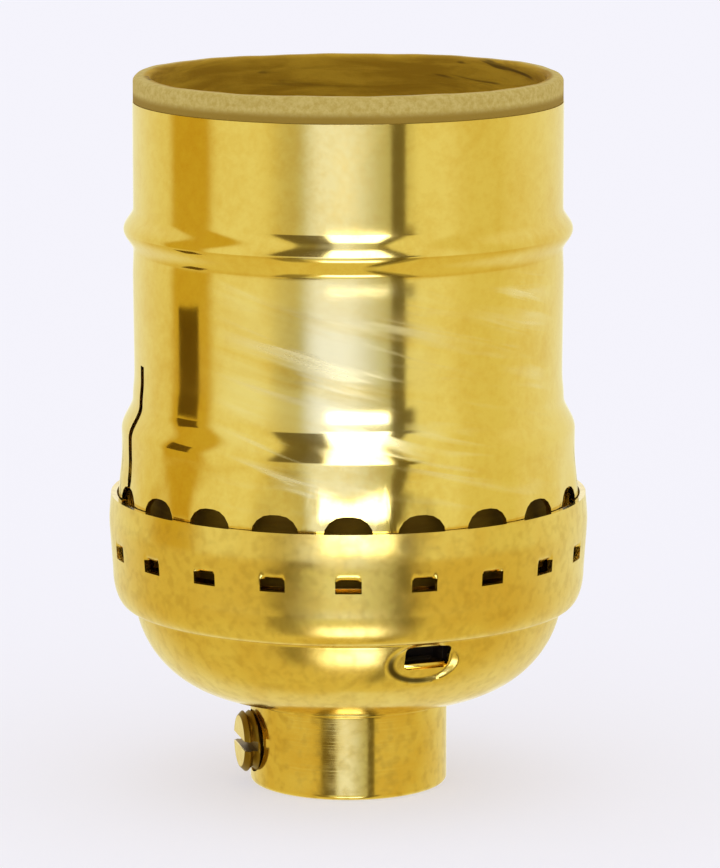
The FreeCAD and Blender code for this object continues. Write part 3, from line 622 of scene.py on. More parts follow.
def with_modifiers(mesh, *modifiers):
    """Run modifiers, each given as its type and settings, over a mesh and keep the result."""
    holder = placed("holder", mesh)
    for kind, settings in modifiers:
        modifier = holder.modifiers.new(kind, kind)
        for name, value in settings.items():
            setattr(modifier, name, value)
    return plain_mesh(holder)


def broken_edges(width, angle=SHARP_ANGLE):
    """Settings of a bevel over edges sharper than an angle."""
    return ("BEVEL", {"width": width * MM, "segments": 2, "limit_method": "ANGLE",
                      "angle_limit": math.radians(angle), "harden_normals": True})


def sheet_metal(mesh, wall, edge, *cutters):
    """Give an open sheet its wall on the inside, cut tools out of it and break its sharp edges."""
    smooth(mesh)
    solid = with_modifiers(mesh, ("SOLIDIFY", {"thickness": wall * MM, "offset": -1.0}))
    solid = cut(solid, *cutters)
    smooth(solid)
    return with_modifiers(solid, broken_edges(edge))


def smooth(mesh):
    mesh.polygons.foreach_set("use_smooth", [True] * len(mesh.polygons))
    mesh.update()


def smooth_by_angle(mesh, degrees=SHARP_ANGLE):
    """Smooth shading that stays sharp over edges steeper than an angle."""
    smooth(mesh)
    limit = math.radians(degrees)

    def mark(working):
        for edge in working.edges:
            if len(edge.link_faces) == 2:
                edge.smooth = edge.calc_face_angle(0.0) < limit
    return edit(mesh, mark)


def cut(mesh, *tools):
    """Cut closed tool meshes out of a closed mesh."""
    for tool in tools:
        helper = placed("tool", tool)
        settings = {"operation": "DIFFERENCE", "object": helper, "solver": "EXACT"}
        mesh = with_modifiers(mesh, ("BOOLEAN", settings))
        bpy.data.objects.remove(helper)
    return mesh


def block_mesh(low, high):
    """A plain box between two corners."""
    low, high = np.array(low, float), np.array(high, float)
    working = bmesh.new()
    bmesh.ops.create_cube(working, size=1.0)
    for vertex in working.verts:
        vertex.co = Vector((low + (np.array(vertex.co) + 0.5) * (high - low)) * MM)
    mesh = bpy.data.meshes.new("box")
    working.to_mesh(mesh)
    working.free()
    return mesh


def joined(*meshes):
    """One mesh from several, with the first one's materials."""
    working = bmesh.new()
    for mesh in meshes:
        working.from_mesh(mesh)
    made = meshes[0]
    working.to_mesh(made)
    working.free()
    return made


def moved(mesh, matrix):
    mesh.transform(matrix)
    return mesh


def across(height, side, turn=0.0):
    """Lay a piece that was turned about Z along X instead, at a height, on the side given by its sign."""
    return (Matrix.Rotation(turn, 4, "Z") @ Matrix.Translation((0, 0, height * MM))
            @ Matrix.Rotation(side * math.pi / 2, 4, "Y") @ Matrix.Rotation(math.pi / 2, 4, "Z"))


def piece(name, mesh, body, slot, finish_used, *nodes):
    """Put a finished mesh in the scene: on its body, in place of its solids, with its finish."""
    mesh.materials.clear()
    mesh.materials.append(finish_used)
    mesh.polygons.foreach_set("material_index", [0] * len(mesh.polygons))
    made = placed(name, mesh)
    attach(made, body)
    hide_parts(*nodes)


# Outer shell

FLARE_Z = 27.9
FLARE_HEIGHT = 2.5
FLARE_TOP_Z = FLARE_Z + FLARE_HEIGHT
BEAD_Z = 43.4
BEAD_HEIGHT = 3.3
BEAD_RISE = 0.75
SLIT_TOP_Z = 33.4
SHELL_EDGE = 0.11

# Windows of the skirt, and the mesh around each one
WINDOW_FOOT_Z = 18.55
WINDOW_TOP_Z = 24.1
WINDOW_HALF = 1.85
WINDOW_CORNER = 1.5
CORNER_TURNS = (0, 22, 45, 68, 90)
SIDE_POINTS = 17
FOOT_SHARES = (0.8, 0.55)
RING_SHARES = (0, 0.06, 0.16, 0.30, 0.48, 0.72, 1)
COLUMNS_A_WINDOW = 12
SLIT_COLUMNS = 0.95
SKIRT_SEAM_Z = 27.0

# Drawing marks: the tucked foot, the lead into the flare, the neck's swell, puckers and the sprung skirt
FOOT_HEIGHT = 2.0
FOOT_TUCK = 0.5
LEAD_HEIGHT = 1.9
LEAD_SWELL = 0.12
NECK_Z = (33.4, 39.6, 40.2, 41.3, 41.75)
NECK_SWELL = (0.0, 0.055, 0.055, 0.006, 0.0)
PUCKER = 0.06
PUCKER_Z = 24.2
PUCKER_FADE = 3.2
SPREAD = 0.26
SPREAD_FOOT_Z = 20.5
SPREAD_TOP_Z = 26.4


def shell_radius_at(z):
    """Outer radius of the drawn shell: tucked foot, skirt, S-shaped flare, wall and bead."""
    z = np.asarray(z, float)
    flare = fallen((z - FLARE_Z) / FLARE_HEIGHT)
    lead = fallen((z - FLARE_TOP_Z) / LEAD_HEIGHT)
    foot = fallen((z - WINDOW_FOOT_Z) / FOOT_HEIGHT)
    bead = np.cos(math.pi * np.clip((z - BEAD_Z) / BEAD_HEIGHT, -0.5, 0.5)) ** 2
    neck = np.interp(z, NECK_Z, NECK_SWELL)
    return (SHELL_RADIUS + flare * (SKIRT_RADIUS - SHELL_RADIUS - LEAD_SWELL) + LEAD_SWELL * lead + neck
            + BEAD_RISE * bead - FOOT_TUCK * foot)


def spread_at(z):
    """How far the sprung skirt stands out just above the rim; it comes back in where the cap hides it."""
    over = eased((SPREAD_TOP_Z - z) / (SPREAD_TOP_Z - RIM_Z))
    under = np.clip((z - SPREAD_FOOT_Z) / (RIM_Z - SPREAD_FOOT_Z), 0, 1)
    return SPREAD * over * under


def window_outline(step):
    """Window outline in degrees and millimetres, clockwise, with as many points as the sector's edge."""
    wide = math.degrees(WINDOW_HALF / SKIRT_RADIUS)
    round_wide = math.degrees(WINDOW_CORNER / SKIRT_RADIUS)
    flat = wide - round_wide
    side_top = WINDOW_TOP_Z - WINDOW_CORNER
    corner = [(flat + round_wide * math.sin(a), side_top + WINDOW_CORNER * math.cos(a))
              for a in np.radians(CORNER_TURNS)]
    right = [(step, WINDOW_TOP_Z)] + corner
    left = [(-u, z) for u, z in reversed(right)]
    side = [(wide, z) for z in np.linspace(side_top, WINDOW_FOOT_Z, SIDE_POINTS)[1:]]
    foot_right = [wide * share for share in FOOT_SHARES] + [step]
    foot = [(u, WINDOW_FOOT_Z) for u in foot_right + [0] + [-u for u in reversed(foot_right)]]
    return left + [(0, WINDOW_TOP_Z)] + right + side + foot + [(-u, z) for u, z in reversed(side)]


def skirt_sector():
    """One window of the skirt: rings of quads from the window's edge out to the sector's edge."""
    half = SNAP_STEP / 2
    step = SNAP_STEP / COLUMNS_A_WINDOW
    inner = window_outline(step)
    top = [(n * step - half, SKIRT_SEAM_Z) for n in range(COLUMNS_A_WINDOW + 1)]
    side_count = (len(inner) - 2 * COLUMNS_A_WINDOW) // 2
    side = [(half, z) for z in np.linspace(SKIRT_SEAM_Z, SHELL_FOOT_Z, side_count + 1)[1:]]
    foot = [(half - n * step, SHELL_FOOT_Z) for n in range(1, COLUMNS_A_WINDOW + 1)]
    back = [(-u, z) for u, z in reversed(side[:-1])]
    outer = top + side + foot + back
    shift = inner.index((0, WINDOW_TOP_Z)) - COLUMNS_A_WINDOW // 2
    inner = inner[shift:] + inner[:shift]
    flat = np.array([[np.array(a) + (np.array(b) - a) * share for a, b in zip(inner, outer)]
                     for share in RING_SHARES])
    angle, z = np.radians(flat[..., 0]), flat[..., 1]
    fade = 1 - eased((z - PUCKER_Z) / PUCKER_FADE)
    radius = shell_radius_at(z) - PUCKER * np.cos(angle * SNAP_COUNT) * fade + spread_at(z)
    angle = angle + math.radians(SNAP_START)
    points = np.stack([radius * np.cos(angle), radius * np.sin(angle), z], axis=-1)
    return grid_mesh(points, wrap=True)


def cut_slit(working):
    """Take the faces of the slit out of the shell's sheet."""
    bmesh.ops.remove_doubles(working, verts=working.verts, dist=SEAM_WELD * MM)
    reach = SNAP_STEP / COLUMNS_A_WINDOW * SLIT_COLUMNS
    start = math.radians(SNAP_START)
    along = Vector((math.cos(start), math.sin(start)))
    gone = []
    for face in working.faces:
        middle = face.calc_center_median()
        off = math.degrees(along.angle(middle.xy, 0.0))
        if middle.z < SLIT_TOP_Z * MM and off < reach:
            gone.append(face)
    bmesh.ops.delete(working, geom=gone, context="FACES")


def make_shell():
    skirt = grow(skirt_sector(), COPIES, count=SNAP_COUNT, finish=SHELL_BRASS)
    rows = stepped((SKIRT_SEAM_Z, 2), (FLARE_Z, 14), (FLARE_TOP_Z, 8), (SLIT_TOP_Z, 20),
                   (BEAD_Z - BEAD_HEIGHT / 2, 24), (BEAD_Z + BEAD_HEIGHT / 2, 8), (SHELL_TOP_Z, 0))
    angles = ring_angles(SNAP_COUNT * COLUMNS_A_WINDOW) + math.radians(SNAP_START - SNAP_STEP / 2)
    wall = grid_mesh(turned(shell_radius_at(rows), rows, angles), wrap=True)
    sheet = edit(joined(skirt, wall), cut_slit)
    made = sheet_metal(sheet, SHEET, SHELL_EDGE)
    piece("brass_shell", made, "shell", "shell_brass", SHELL_BRASS, "outer_shell")


# Cap

CAP_HOLE_RADIUS = 6.03
FLOOR_RING_RADIUS = 6.8
FLAT_RADIUS = 8.6
CREASE_RADIUS = 16.55
CREASE_FILLET = 0.4
BOWL_DEPTH = LEDGE_Z - CAP_FLOOR_Z
BOWL_ARC = ((CREASE_RADIUS - FLAT_RADIUS) ** 2 + BOWL_DEPTH ** 2) / (2 * BOWL_DEPTH)
BOWL_CENTER = (FLAT_RADIUS, CAP_FLOOR_Z + BOWL_ARC)
BOWL_START = (-90, -72)
CREASE_DROP = BOWL_CENTER[1] - LEDGE_Z + CREASE_FILLET
CREASE_OUT = math.sqrt((BOWL_ARC + CREASE_FILLET) ** 2 - CREASE_DROP ** 2)
CREASE_CENTER = (FLAT_RADIUS + CREASE_OUT, LEDGE_Z - CREASE_FILLET)
BAND_RADIUS = 18.15
RIM_RADIUS = 18.45
SHOULDER_START = 17.134
SHOULDER_HEIGHT = 2.7
CAP_EDGE = 0.09

# The band's swell under the rim: how far it leans out for each millimetre up
SWELL_Z = (20.3, 21.6)
SWELL_LEAN = (0.069, -0.088)

# Lanced dents, and the mesh around each one
DENT_FOOT_Z = 18.425
DENT_EDGE_Z = 19.375
DENT_TOP_Z = 20.325
DENT_DEPTH = 0.32
DENT_HALF_ANGLE = 3.078
DENT_SIDE_ANGLE = 1.1
DENT_CURVE = 5
DENT_COLUMNS = (0, 0.9, 1.8, 2.3, 2.66, 2.88, DENT_HALF_ANGLE, 3.5, 4.4, 5.4, 6.4, 7.34, 8.2, 9.0)
BOWL_ROWS = (*np.linspace(7.8, 10.2, 8), *np.linspace(10.4, 13.75, 18))
BAND_ROWS = (17.4, 18.0, DENT_FOOT_Z, 18.9, DENT_EDGE_Z, 19.5, 19.65, 19.8, 19.95, 20.1, DENT_TOP_Z,
             20.6, 20.9, 21.2, 21.5, 21.8, 22.3, 22.7, RIM_Z)

# Locking windows, the dish around each one, and the tongue bent in from its lower edge
LOCK_FOOT_Z = 11.9
LOCK_TOP_Z = 13.75
LOCK_HALF_WIDTH = 1.8
LOCK_CORNER = 0.4
LOCK_REACH = 20.0
PAD_BORDER = 0.26
PAD_DEPTH = 0.38
TONGUE_HALF_WIDTH = 1.7
TONGUE_REACH = (12.95, 15.25)
TONGUE_SINK = 0.02
TONGUE_EDGE = 0.08


def cap_profile():
    """Outer face of the cap's sheet from the hub's hole to the rim."""
    floor = [(CAP_HOLE_RADIUS, CAP_FLOOR_Z), (FLOOR_RING_RADIUS, CAP_FLOOR_Z)]
    bowl = arc(BOWL_CENTER, BOWL_ARC, *BOWL_START, 5)
    low_z = bowl[-1][1]
    bowl += [(BOWL_CENTER[0] + math.sqrt(BOWL_ARC ** 2 - (z - BOWL_CENTER[1]) ** 2), z)
             for z in BOWL_ROWS if z > low_z]
    crease_start = math.degrees(math.atan2(CREASE_DROP, -CREASE_OUT))
    crease = arc(CREASE_CENTER, CREASE_FILLET, crease_start, 90, 8)
    foot_z = LEDGE_Z + SHOULDER_HEIGHT
    foot_r = BAND_RADIUS + (RIM_RADIUS - BAND_RADIUS) * SHOULDER_HEIGHT / (RIM_Z - LEDGE_Z)
    shoulder = [(SHOULDER_START + (foot_r - SHOULDER_START) * r, foot_z + SHOULDER_HEIGHT * z)
                for r, z in arc((0, 0), 1, -90, 0, 18)]
    band_z = np.array([foot_z, *BAND_ROWS])
    lean = np.interp(band_z, SWELL_Z, SWELL_LEAN)
    band_r = foot_r + np.cumsum((lean[1:] + lean[:-1]) / 2 * np.diff(band_z))
    return floor + bowl + crease + shoulder + list(zip(band_r, band_z[1:]))


def cap_sector():
    """One dent of the cap: a strip of the sheet with a lanced opening and the ramp above it."""
    degrees = np.array([-a for a in reversed(DENT_COLUMNS[1:])] + list(DENT_COLUMNS))
    radii, heights = (np.array(values) for values in zip(*cap_profile()))
    ramp = np.clip((DENT_TOP_Z - heights) / (DENT_TOP_Z - DENT_EDGE_Z), 0, 1) ** DENT_CURVE
    ramp = ramp * (heights >= DENT_EDGE_Z)
    side = eased((DENT_HALF_ANGLE - np.abs(degrees)) / DENT_SIDE_ANGLE)
    depth = DENT_DEPTH * ramp[:, None] * side[None, :]
    points = turned(radii[:, None] - depth, heights, np.radians(degrees + SNAP_START))
    row_middle = (heights[:-1] + heights[1:]) / 2
    column_middle = (degrees[:-1] + degrees[1:]) / 2
    opening = (row_middle > DENT_FOOT_Z) & (row_middle < DENT_EDGE_Z)
    keep = ~(opening[:, None] & (np.abs(column_middle) < DENT_HALF_ANGLE)[None, :])
    return grid_mesh(points, keep=keep)


def press_pads(working):
    """Dish the bowl into an oval pad on both sides, around the locking windows."""
    bmesh.ops.remove_doubles(working, verts=working.verts, dist=SEAM_WELD * MM)
    for vertex in working.verts:
        x, y, z = vertex.co / MM
        off = x + math.copysign(PAD_SHIFT, -y)
        away = math.hypot(off / PAD_HALF_WIDTH, (z - PAD_Z) / PAD_HALF_HEIGHT)
        if away < 1 and z < LEDGE_Z:
            vertex.co.y -= math.copysign(PAD_DEPTH * eased((1 - away) / PAD_BORDER), y) * MM


def lock_cutter():
    """Bar with rounded corners that cuts both locking windows."""
    bar = block_mesh((-LOCK_HALF_WIDTH, -LOCK_REACH, LOCK_FOOT_Z), (LOCK_HALF_WIDTH, LOCK_REACH, LOCK_TOP_Z))

    def round_corners(working):
        along = [edge for edge in working.edges
                 if abs((edge.verts[0].co - edge.verts[1].co).y) > LOCK_REACH * MM]
        bmesh.ops.bevel(working, geom=along, offset=LOCK_CORNER * MM, segments=5, profile=0.5, affect="EDGES")
    return edit(bar, round_corners)


def lock_tongue(turn):
    """Tongue of the locking window that lies this far round the axis from +Y."""
    start, end = TONGUE_REACH
    foot = LOCK_FOOT_Z - TONGUE_SINK
    tongue = block_mesh((-TONGUE_HALF_WIDTH, start, foot), (TONGUE_HALF_WIDTH, end, foot + SHEET))
    tongue = with_modifiers(tongue, broken_edges(TONGUE_EDGE))
    return moved(tongue, Matrix.Rotation(turn, 4, "Z"))


def make_cap():
    sheet = grow(cap_sector(), COPIES, count=SNAP_COUNT, finish=CAP_BRASS)
    edit(sheet, press_pads)
    made = sheet_metal(sheet, SHEET, CAP_EDGE, lock_cutter())
    made = joined(made, lock_tongue(0), lock_tongue(math.pi))
    smooth(made)
    piece("brass_cap", made, "base", "shell_brass", CAP_BRASS, "cap")


# Hub and its set screw; a section gives the radius, height and rounding of each corner

HUB_RADIUS = 7.65
HUB_LENGTH = 6.6
HUB_BORE = 4.6
HUB_CHAMFER = 0.45
FLANGE_RADIUS = 8.1
NECK_RADIUS = 6.0
CLINCH_Z = CAP_FLOOR_Z + SHEET
CLINCH_RADIUS = 7.2
CLINCH_TOP_Z = 8.45
CLINCH_TOP_RADIUS = 6.4
HUB_SECTION = (
    (HUB_BORE + HUB_CHAMFER, 0.0, 0.05), (HUB_RADIUS, 0.0, 0.35), (HUB_RADIUS, HUB_LENGTH, 0.12),
    (FLANGE_RADIUS, HUB_LENGTH, 0.16), (FLANGE_RADIUS, CAP_FLOOR_Z, 0.1), (NECK_RADIUS, CAP_FLOOR_Z, 0),
    (NECK_RADIUS, CLINCH_Z, 0), (CLINCH_RADIUS, CLINCH_Z, 0.06), (CLINCH_TOP_RADIUS, CLINCH_TOP_Z, 0.1),
    (HUB_BORE, CLINCH_TOP_Z, 0.05), (HUB_BORE, HUB_CHAMFER, 0.05))
HUB_THREAD = {"low": 0.6, "high": 8.3, "run_out": 0.4, "pitch": 0.941, "depth": 0.5}
HUB_SHARP_ANGLE = 35
SCREW_HOLE_RADIUS = 2.43
SCREW_HOLE_REACH = (3.0, 9.0)
SET_SCREW = {"tip": 4.8, "crest": 2.38, "chamfer": 0.35, "columns": 72, "high": 8.4, "pitch": 0.8,
             "depth": -0.36, "slot_reach": 3.0, "slot_half": 0.375, "slot_depth": 1.0}

# Points this near to a fine thread's wall move with the thread
FINE_REACH = 0.06

# How far the cutter of a slot stands over the screw's end
SLOT_CLEAR = 1.0


def make_hub():
    blank = lathe(HUB_SECTION, columns=128, step=0.12)
    bored = threaded(blank, HUB_BRASS, roundness=0.15, wall_radius=HUB_BORE, wall_reach=FINE_REACH,
                     **HUB_THREAD)
    start, end = SCREW_HOLE_REACH
    hole = lathe([(ON_AXIS, start, 0), (SCREW_HOLE_RADIUS, start, 0), (SCREW_HOLE_RADIUS, end, 0),
                  (ON_AXIS, end, 0)], columns=64, step=end)
    edit(hole, face_out)
    made = cut(bored, moved(hole, across(SET_SCREW_Z, -1, SET_SCREW_TURN)))
    smooth_by_angle(made, HUB_SHARP_ANGLE)
    piece("pipe_hub", made, "base", "hub_brass", HUB_BRASS, "hub")


def slotted_screw(head, finish_used, matrix, tip, crest, chamfer, columns,
                  slot_reach, slot_half, slot_depth, **thread):
    """A screw turned about Z and laid in its place: chamfered tip, thread, head and a slot across its end."""
    end = head[-1][1]
    blank = lathe([(ON_AXIS, tip, 0), (crest - chamfer, tip, 0.05), (crest, tip + chamfer, 0.05), *head,
                   (ON_AXIS, end, 0)], columns, step=0.1)
    screw = threaded(blank, finish_used, roundness=0.2, low=5.0, run_out=0.3, wall_radius=crest,
                     wall_reach=FINE_REACH, **thread)
    slot = block_mesh((-slot_reach, -slot_half, end - slot_depth), (slot_reach, slot_half, end + SLOT_CLEAR))
    return smooth_by_angle(moved(cut(screw, slot), matrix))


def make_set_screw():
    crest, chamfer = SET_SCREW["crest"], SET_SCREW["chamfer"]
    head = ((crest, SET_SCREW_END - chamfer, 0.05), (crest - chamfer, SET_SCREW_END, 0.08))
    made = slotted_screw(head, SET_SCREW_BRASS, across(SET_SCREW_Z, -1, SET_SCREW_TURN), **SET_SCREW)
    piece("pipe_set_screw", made, "set_screw", "screw_brass", SET_SCREW_BRASS, "set_screw")


# Insulating sleeve

SLEEVE_BORE = 15.13
SLEEVE_RADIUS = 15.93
SLEEVE_LIP_RADIUS = 16.45
SLEEVE_FOOT_Z = 16.8
SLEEVE_SECTION = (
    (SLEEVE_BORE, SLEEVE_FOOT_Z, 0.1), (SLEEVE_RADIUS, SLEEVE_FOOT_Z, 0.1), (SLEEVE_RADIUS, SHELL_TOP_Z, 0),
    (SLEEVE_LIP_RADIUS, SHELL_TOP_Z, 0.06), (SLEEVE_LIP_RADIUS, SLEEVE_TOP_Z, 0.42),
    (SLEEVE_BORE, SLEEVE_TOP_Z, 0.3))

# Uneven cut of the top edge: where it starts, and waves of this height, count and phase
RAGGED_Z = 53.4
RAGGED_HEIGHT = 1.1
RAGGED_DROP = 0.10
RAGGED_WAVES = ((0.05, 3, 0.7), (0.02, 11, 0.0), (0.01, 29, 2.0))


def make_sleeve():
    mesh = lathe(SLEEVE_SECTION, columns=240, step=0.5)
    place = np.zeros(len(mesh.vertices) * 3)
    mesh.vertices.foreach_get("co", place)
    place = place.reshape(-1, 3)
    angle = np.arctan2(place[:, 1], place[:, 0])
    top = np.clip((place[:, 2] / MM - RAGGED_Z) / RAGGED_HEIGHT, 0, 1)
    ragged = sum(height * np.sin(count * angle + phase) for height, count, phase in RAGGED_WAVES)
    place[:, 2] += (ragged - RAGGED_DROP) * top * MM
    mesh.vertices.foreach_set("co", place.ravel())
    edit(mesh, face_out)
    smooth_by_angle(mesh)
    piece("fibre_sleeve", mesh, "shell", "fibre", SLEEVE_FIBRE, "insulating_sleeve")


# Screw shell and what holds it

LAMP_WALL = 0.4
LAMP_BORE = 12.95
LAMP_RADIUS = LAMP_BORE + LAMP_WALL
LAMP_HOLE_RADIUS = 7.6
LAMP_FOOT_Z = 26.25
LAMP_FLOOR_Z = LAMP_FOOT_Z + LAMP_WALL
LAMP_TOP_Z = 49.7
LIP_BORE = 13.4
LIP_RADIUS = LIP_BORE + LAMP_WALL
LIP_LOW_Z = 46.6
LIP_HIGH_Z = 47.5
SCREW_SHELL_SECTION = (
    (LAMP_HOLE_RADIUS, LAMP_FOOT_Z, 0.1), (LAMP_RADIUS, LAMP_FOOT_Z, 0.8), (LAMP_RADIUS, LIP_LOW_Z, 0.5),
    (LIP_RADIUS, LIP_HIGH_Z, 0.5), (LIP_RADIUS, LAMP_TOP_Z, 0.15), (LIP_BORE, LAMP_TOP_Z, 0.15),
    (LIP_BORE, LIP_HIGH_Z, 0.5), (LAMP_BORE, LIP_LOW_Z, 0.5), (LAMP_BORE, LAMP_FLOOR_Z, 0.4),
    (LAMP_HOLE_RADIUS, LAMP_FLOOR_Z, 0.1))
LAMP_THREAD = {"low": 28.45, "high": LIP_LOW_Z, "run_out": 2.2, "pitch": 3.63, "depth": 0.7,
               "wall_radius": LAMP_BORE + LAMP_WALL / 2, "wall_reach": 0.3}

# Rivets: their sizes, their places along X, and the shapes that both kinds share
SHELL_RIVET = {"foot": 21.9, "seats": (22.65, 26.65), "top": 27.4, "shank": 1.15, "head": 1.6}
SHELL_RIVET_COUNT = 3
SHELL_RIVET_X = -10.9
LEAF_RIVET = {"foot": 23.95, "seats": (24.65, 26.35), "top": 27.05, "shank": 1.0, "head": 1.9}
LEAF_RIVET_X = 4.2
CLINCH_SHARE = 0.75
CLINCH_RISE = 0.35
DOME_SHARE = 0.6
DOME_RISE = 0.45


def make_screw_shell():
    phase = 0.5 - LAMP_THREAD["low"] / LAMP_THREAD["pitch"]
    blank = lathe(SCREW_SHELL_SECTION, columns=160, step=0.26)
    made = threaded(blank, THREAD_BRASS, roundness=1.0, phase=phase, inward_share=0.5, **LAMP_THREAD)
    smooth_by_angle(made)
    piece("lamp_thread_shell", made, "base", "screw_shell_brass", THREAD_BRASS, "screw_shell")


def rivet_mesh(x, foot, seats, top, shank, head):
    """A clinched rivet with a domed head, at a place along X."""
    seat_low, seat_high = seats
    made = lathe([
        (ON_AXIS, foot, 0), (head * CLINCH_SHARE, foot, 0.1), (head, foot + CLINCH_RISE, 0.1),
        (head, seat_low, 0.05), (shank, seat_low, 0), (shank, seat_high, 0), (head, seat_high, 0.05),
        (head, top - DOME_RISE, 0.12), (head * DOME_SHARE, top, 0.3), (ON_AXIS, top, 0)],
        columns=40, step=0.5)
    return moved(made, Matrix.Translation((x * MM, 0, 0)))


def make_rivets():
    shell_rivets = grow(rivet_mesh(SHELL_RIVET_X, **SHELL_RIVET), COPIES, count=SHELL_RIVET_COUNT,
                        finish=SCREW_BRASS)
    leaf_rivet = rivet_mesh(LEAF_RIVET_X, **LEAF_RIVET)
    for name, made, node in (("shell_rivet_set", shell_rivets, "shell_rivets"),
                             ("leaf_rivet", leaf_rivet, "contact_rivet")):
        edit(made, face_out)
        smooth_by_angle(made)
        piece(name, made, "base", "rivet_brass", SCREW_BRASS, node)


# Terminal screws

TERMINAL_Z = 18.25
TERMINAL_CREST = 1.75
TERMINAL_SEAT = 9.05
TERMINAL_END = 10.55
TERMINAL_HEAD_RADIUS = 3.1
TERMINAL_DOME_RADIUS = 2.3
TERMINAL_DOME_FOOT = 10.15
TERMINAL_HEAD = (
    (TERMINAL_CREST, TERMINAL_SEAT, 0.05), (TERMINAL_HEAD_RADIUS, TERMINAL_SEAT, 0.1),
    (TERMINAL_HEAD_RADIUS, TERMINAL_DOME_FOOT, 0.25), (TERMINAL_DOME_RADIUS, TERMINAL_END, 0.4))
TERMINAL_SCREW = {"tip": 4.85, "crest": TERMINAL_CREST, "chamfer": 0.4, "columns": 64, "high": 8.9,
                  "pitch": 0.7, "depth": -0.3, "slot_reach": 4.0, "slot_half": 0.4, "slot_depth": 0.8}


def make_terminal_screw(name, body, slot, finish_used, node, side):
    made = slotted_screw(TERMINAL_HEAD, finish_used, across(TERMINAL_Z, side), **TERMINAL_SCREW)
    piece(name, made, body, slot, finish_used, node)


# Pieces that keep their solid's shape, with their edges broken

FLAT_ANGLE = 0.6
DRESSED_SHARP_ANGLE = 35


def make_dressed(name, node, body, slot, finish_used, edge):
    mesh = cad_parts[node].data.copy()

    def clean(working):
        bmesh.ops.remove_doubles(working, verts=working.verts, dist=WELD * MM)
        bmesh.ops.dissolve_limit(working, angle_limit=math.radians(FLAT_ANGLE), verts=working.verts,
                                 edges=working.edges)
    edit(mesh, clean)
    smooth(mesh)
    made = with_modifiers(mesh, broken_edges(edge, DRESSED_SHARP_ANGLE))
    piece(name, made, body, slot, finish_used, node)


make_shell()
make_cap()
make_hub()
make_set_screw()
make_sleeve()
make_screw_shell()
make_rivets()
make_terminal_screw("hot_screw", "hot_terminal", "screw_brass", SCREW_BRASS, "hot_terminal_screw", 1)
make_terminal_screw(
    "neutral_screw", "neutral_terminal", "neutral_steel", NICKEL, "neutral_terminal_screw", -1)
make_dressed("moulded_block", "insulator_body", "base", "moulding", PHENOLIC, 0.12)
make_dressed("fibre_washer", "fibre_disc", "base", "disc_fibre", WASHER_FIBRE, 0.08)
make_dressed("contact_leaf", "center_contact", "contact", "leaf_brass", LEAF_BRONZE, 0.06)
make_dressed("hot_plate", "hot_terminal_plate", "base", "plate_brass", PLATE_BRASS, 0.08)
make_dressed("neutral_plate", "neutral_terminal_plate", "base", "plate_brass", PLATE_BRASS, 0.08)


# Camera, where the photograph was taken from

VIEW_AZIMUTH = math.radians(-22)
VIEW_DISTANCE = 400.0
VIEW_HEIGHT = 98.0
AIM_HEIGHT = 27.26
AIM_RIGHT = 0.9
FOCAL_PIXELS = 5256.0
IMAGE_HEIGHT = 868.0
toward_camera = Vector((math.sin(VIEW_AZIMUTH), -math.cos(VIEW_AZIMUTH), 0))
view_right = Vector((math.cos(VIEW_AZIMUTH), math.sin(VIEW_AZIMUTH), 0))

camera = placed("camera", bpy.data.cameras.new("camera"))
camera.location = (toward_camera * VIEW_DISTANCE + Vector((0, 0, VIEW_HEIGHT))) * MM
aim = (view_right * AIM_RIGHT + Vector((0, 0, AIM_HEIGHT))) * MM
camera.rotation_euler = (aim - camera.location).to_track_quat("-Z", "Y").to_euler()
camera.data.sensor_width = 36.0
camera.data.lens = FOCAL_PIXELS * camera.data.sensor_width / IMAGE_HEIGHT
camera.data.clip_start = 0.01
bpy.context.scene.camera = camera


# Floor and light

FLOOR_COLOR = (0.42, 0.4155, 0.440, 1)
FLOOR_GLOW = 1.17
FLOOR_REACH = 9000.0
FLOOR_Z = -0.05
CARD_COLOR = (0.17, 0.11, 0.012, 1)
CARD_PLACE = (-32.0, -9.8)
CARD_WIDTH = 7.0
CARD_HEIGHTS = (28.4, 35.6)
BACKGROUND = (0.905, 0.896, 0.947, 1)
PLAIN_LIGHT = (1, 1, 1.04, 1)

# Cloth of the tent that the metal reflects, the lights in it and the gaps between them
TENT_PALE = (0.83, 0.75, 0.355, 1)
TENT_LOW = (0.73, 0.58, 0.165, 1)
TENT_FOOT = (0.77, 0.64, 0.205, 1)
TENT_GLOW = (0.88, 0.83, 0.455, 1)
TENT_DIM = (0.79, 0.70, 0.28, 1)
TENT_SIDES = (0.90, 0.88, 0.62, 1)
TENT_BEHIND = (1.05, 1.06, 1.0, 1)
TENT_TOP = (0.6, 0.6, 0.6, 1)
TENT_SHADE = (0.43, 0.385, 0.22, 1)
TENT_GAP = (0.12, 0.09, 0.027, 1)
WARM_PANEL = (0.63, 0.44, 0.05, 1)
SHEEN = (0.55, 0.53, 0.33, 1)
SHEEN_PEAK = (0.98, 1.05, 1.36, 1)
SHEEN_FOOT = (0.80, 0.78, 0.42, 1)
LIGHT_BOX = (4.5, 4.6, 4.8, 1)
WHITE_TABLE = (3.0, 3.1, 3.3, 1)
HORIZON = (-13.0, -9.5)
LOWEST = (-19.0, -17.0)


def stage_sheet(name, points, finish_name, color, **sockets):
    """A flat matt sheet of the stage."""
    sheet = placed(name, grid_mesh(np.array(points, float)))
    sockets = {"Base Color": color, "Roughness": 0.9, "Specular IOR Level": 0.0, **sockets}
    sheet.data.materials.append(finish(finish_name, lambda place: sockets))
    return sheet


def make_floor():
    ends = (-FLOOR_REACH, FLOOR_REACH)
    points = [[(x, y, FLOOR_Z) for x in ends] for y in ends]
    glow = {"Emission Color": FLOOR_COLOR, "Emission Strength": FLOOR_GLOW}
    floor = stage_sheet("floor", points, "floor_paper", FLOOR_COLOR, **glow)
    floor.visible_glossy = False


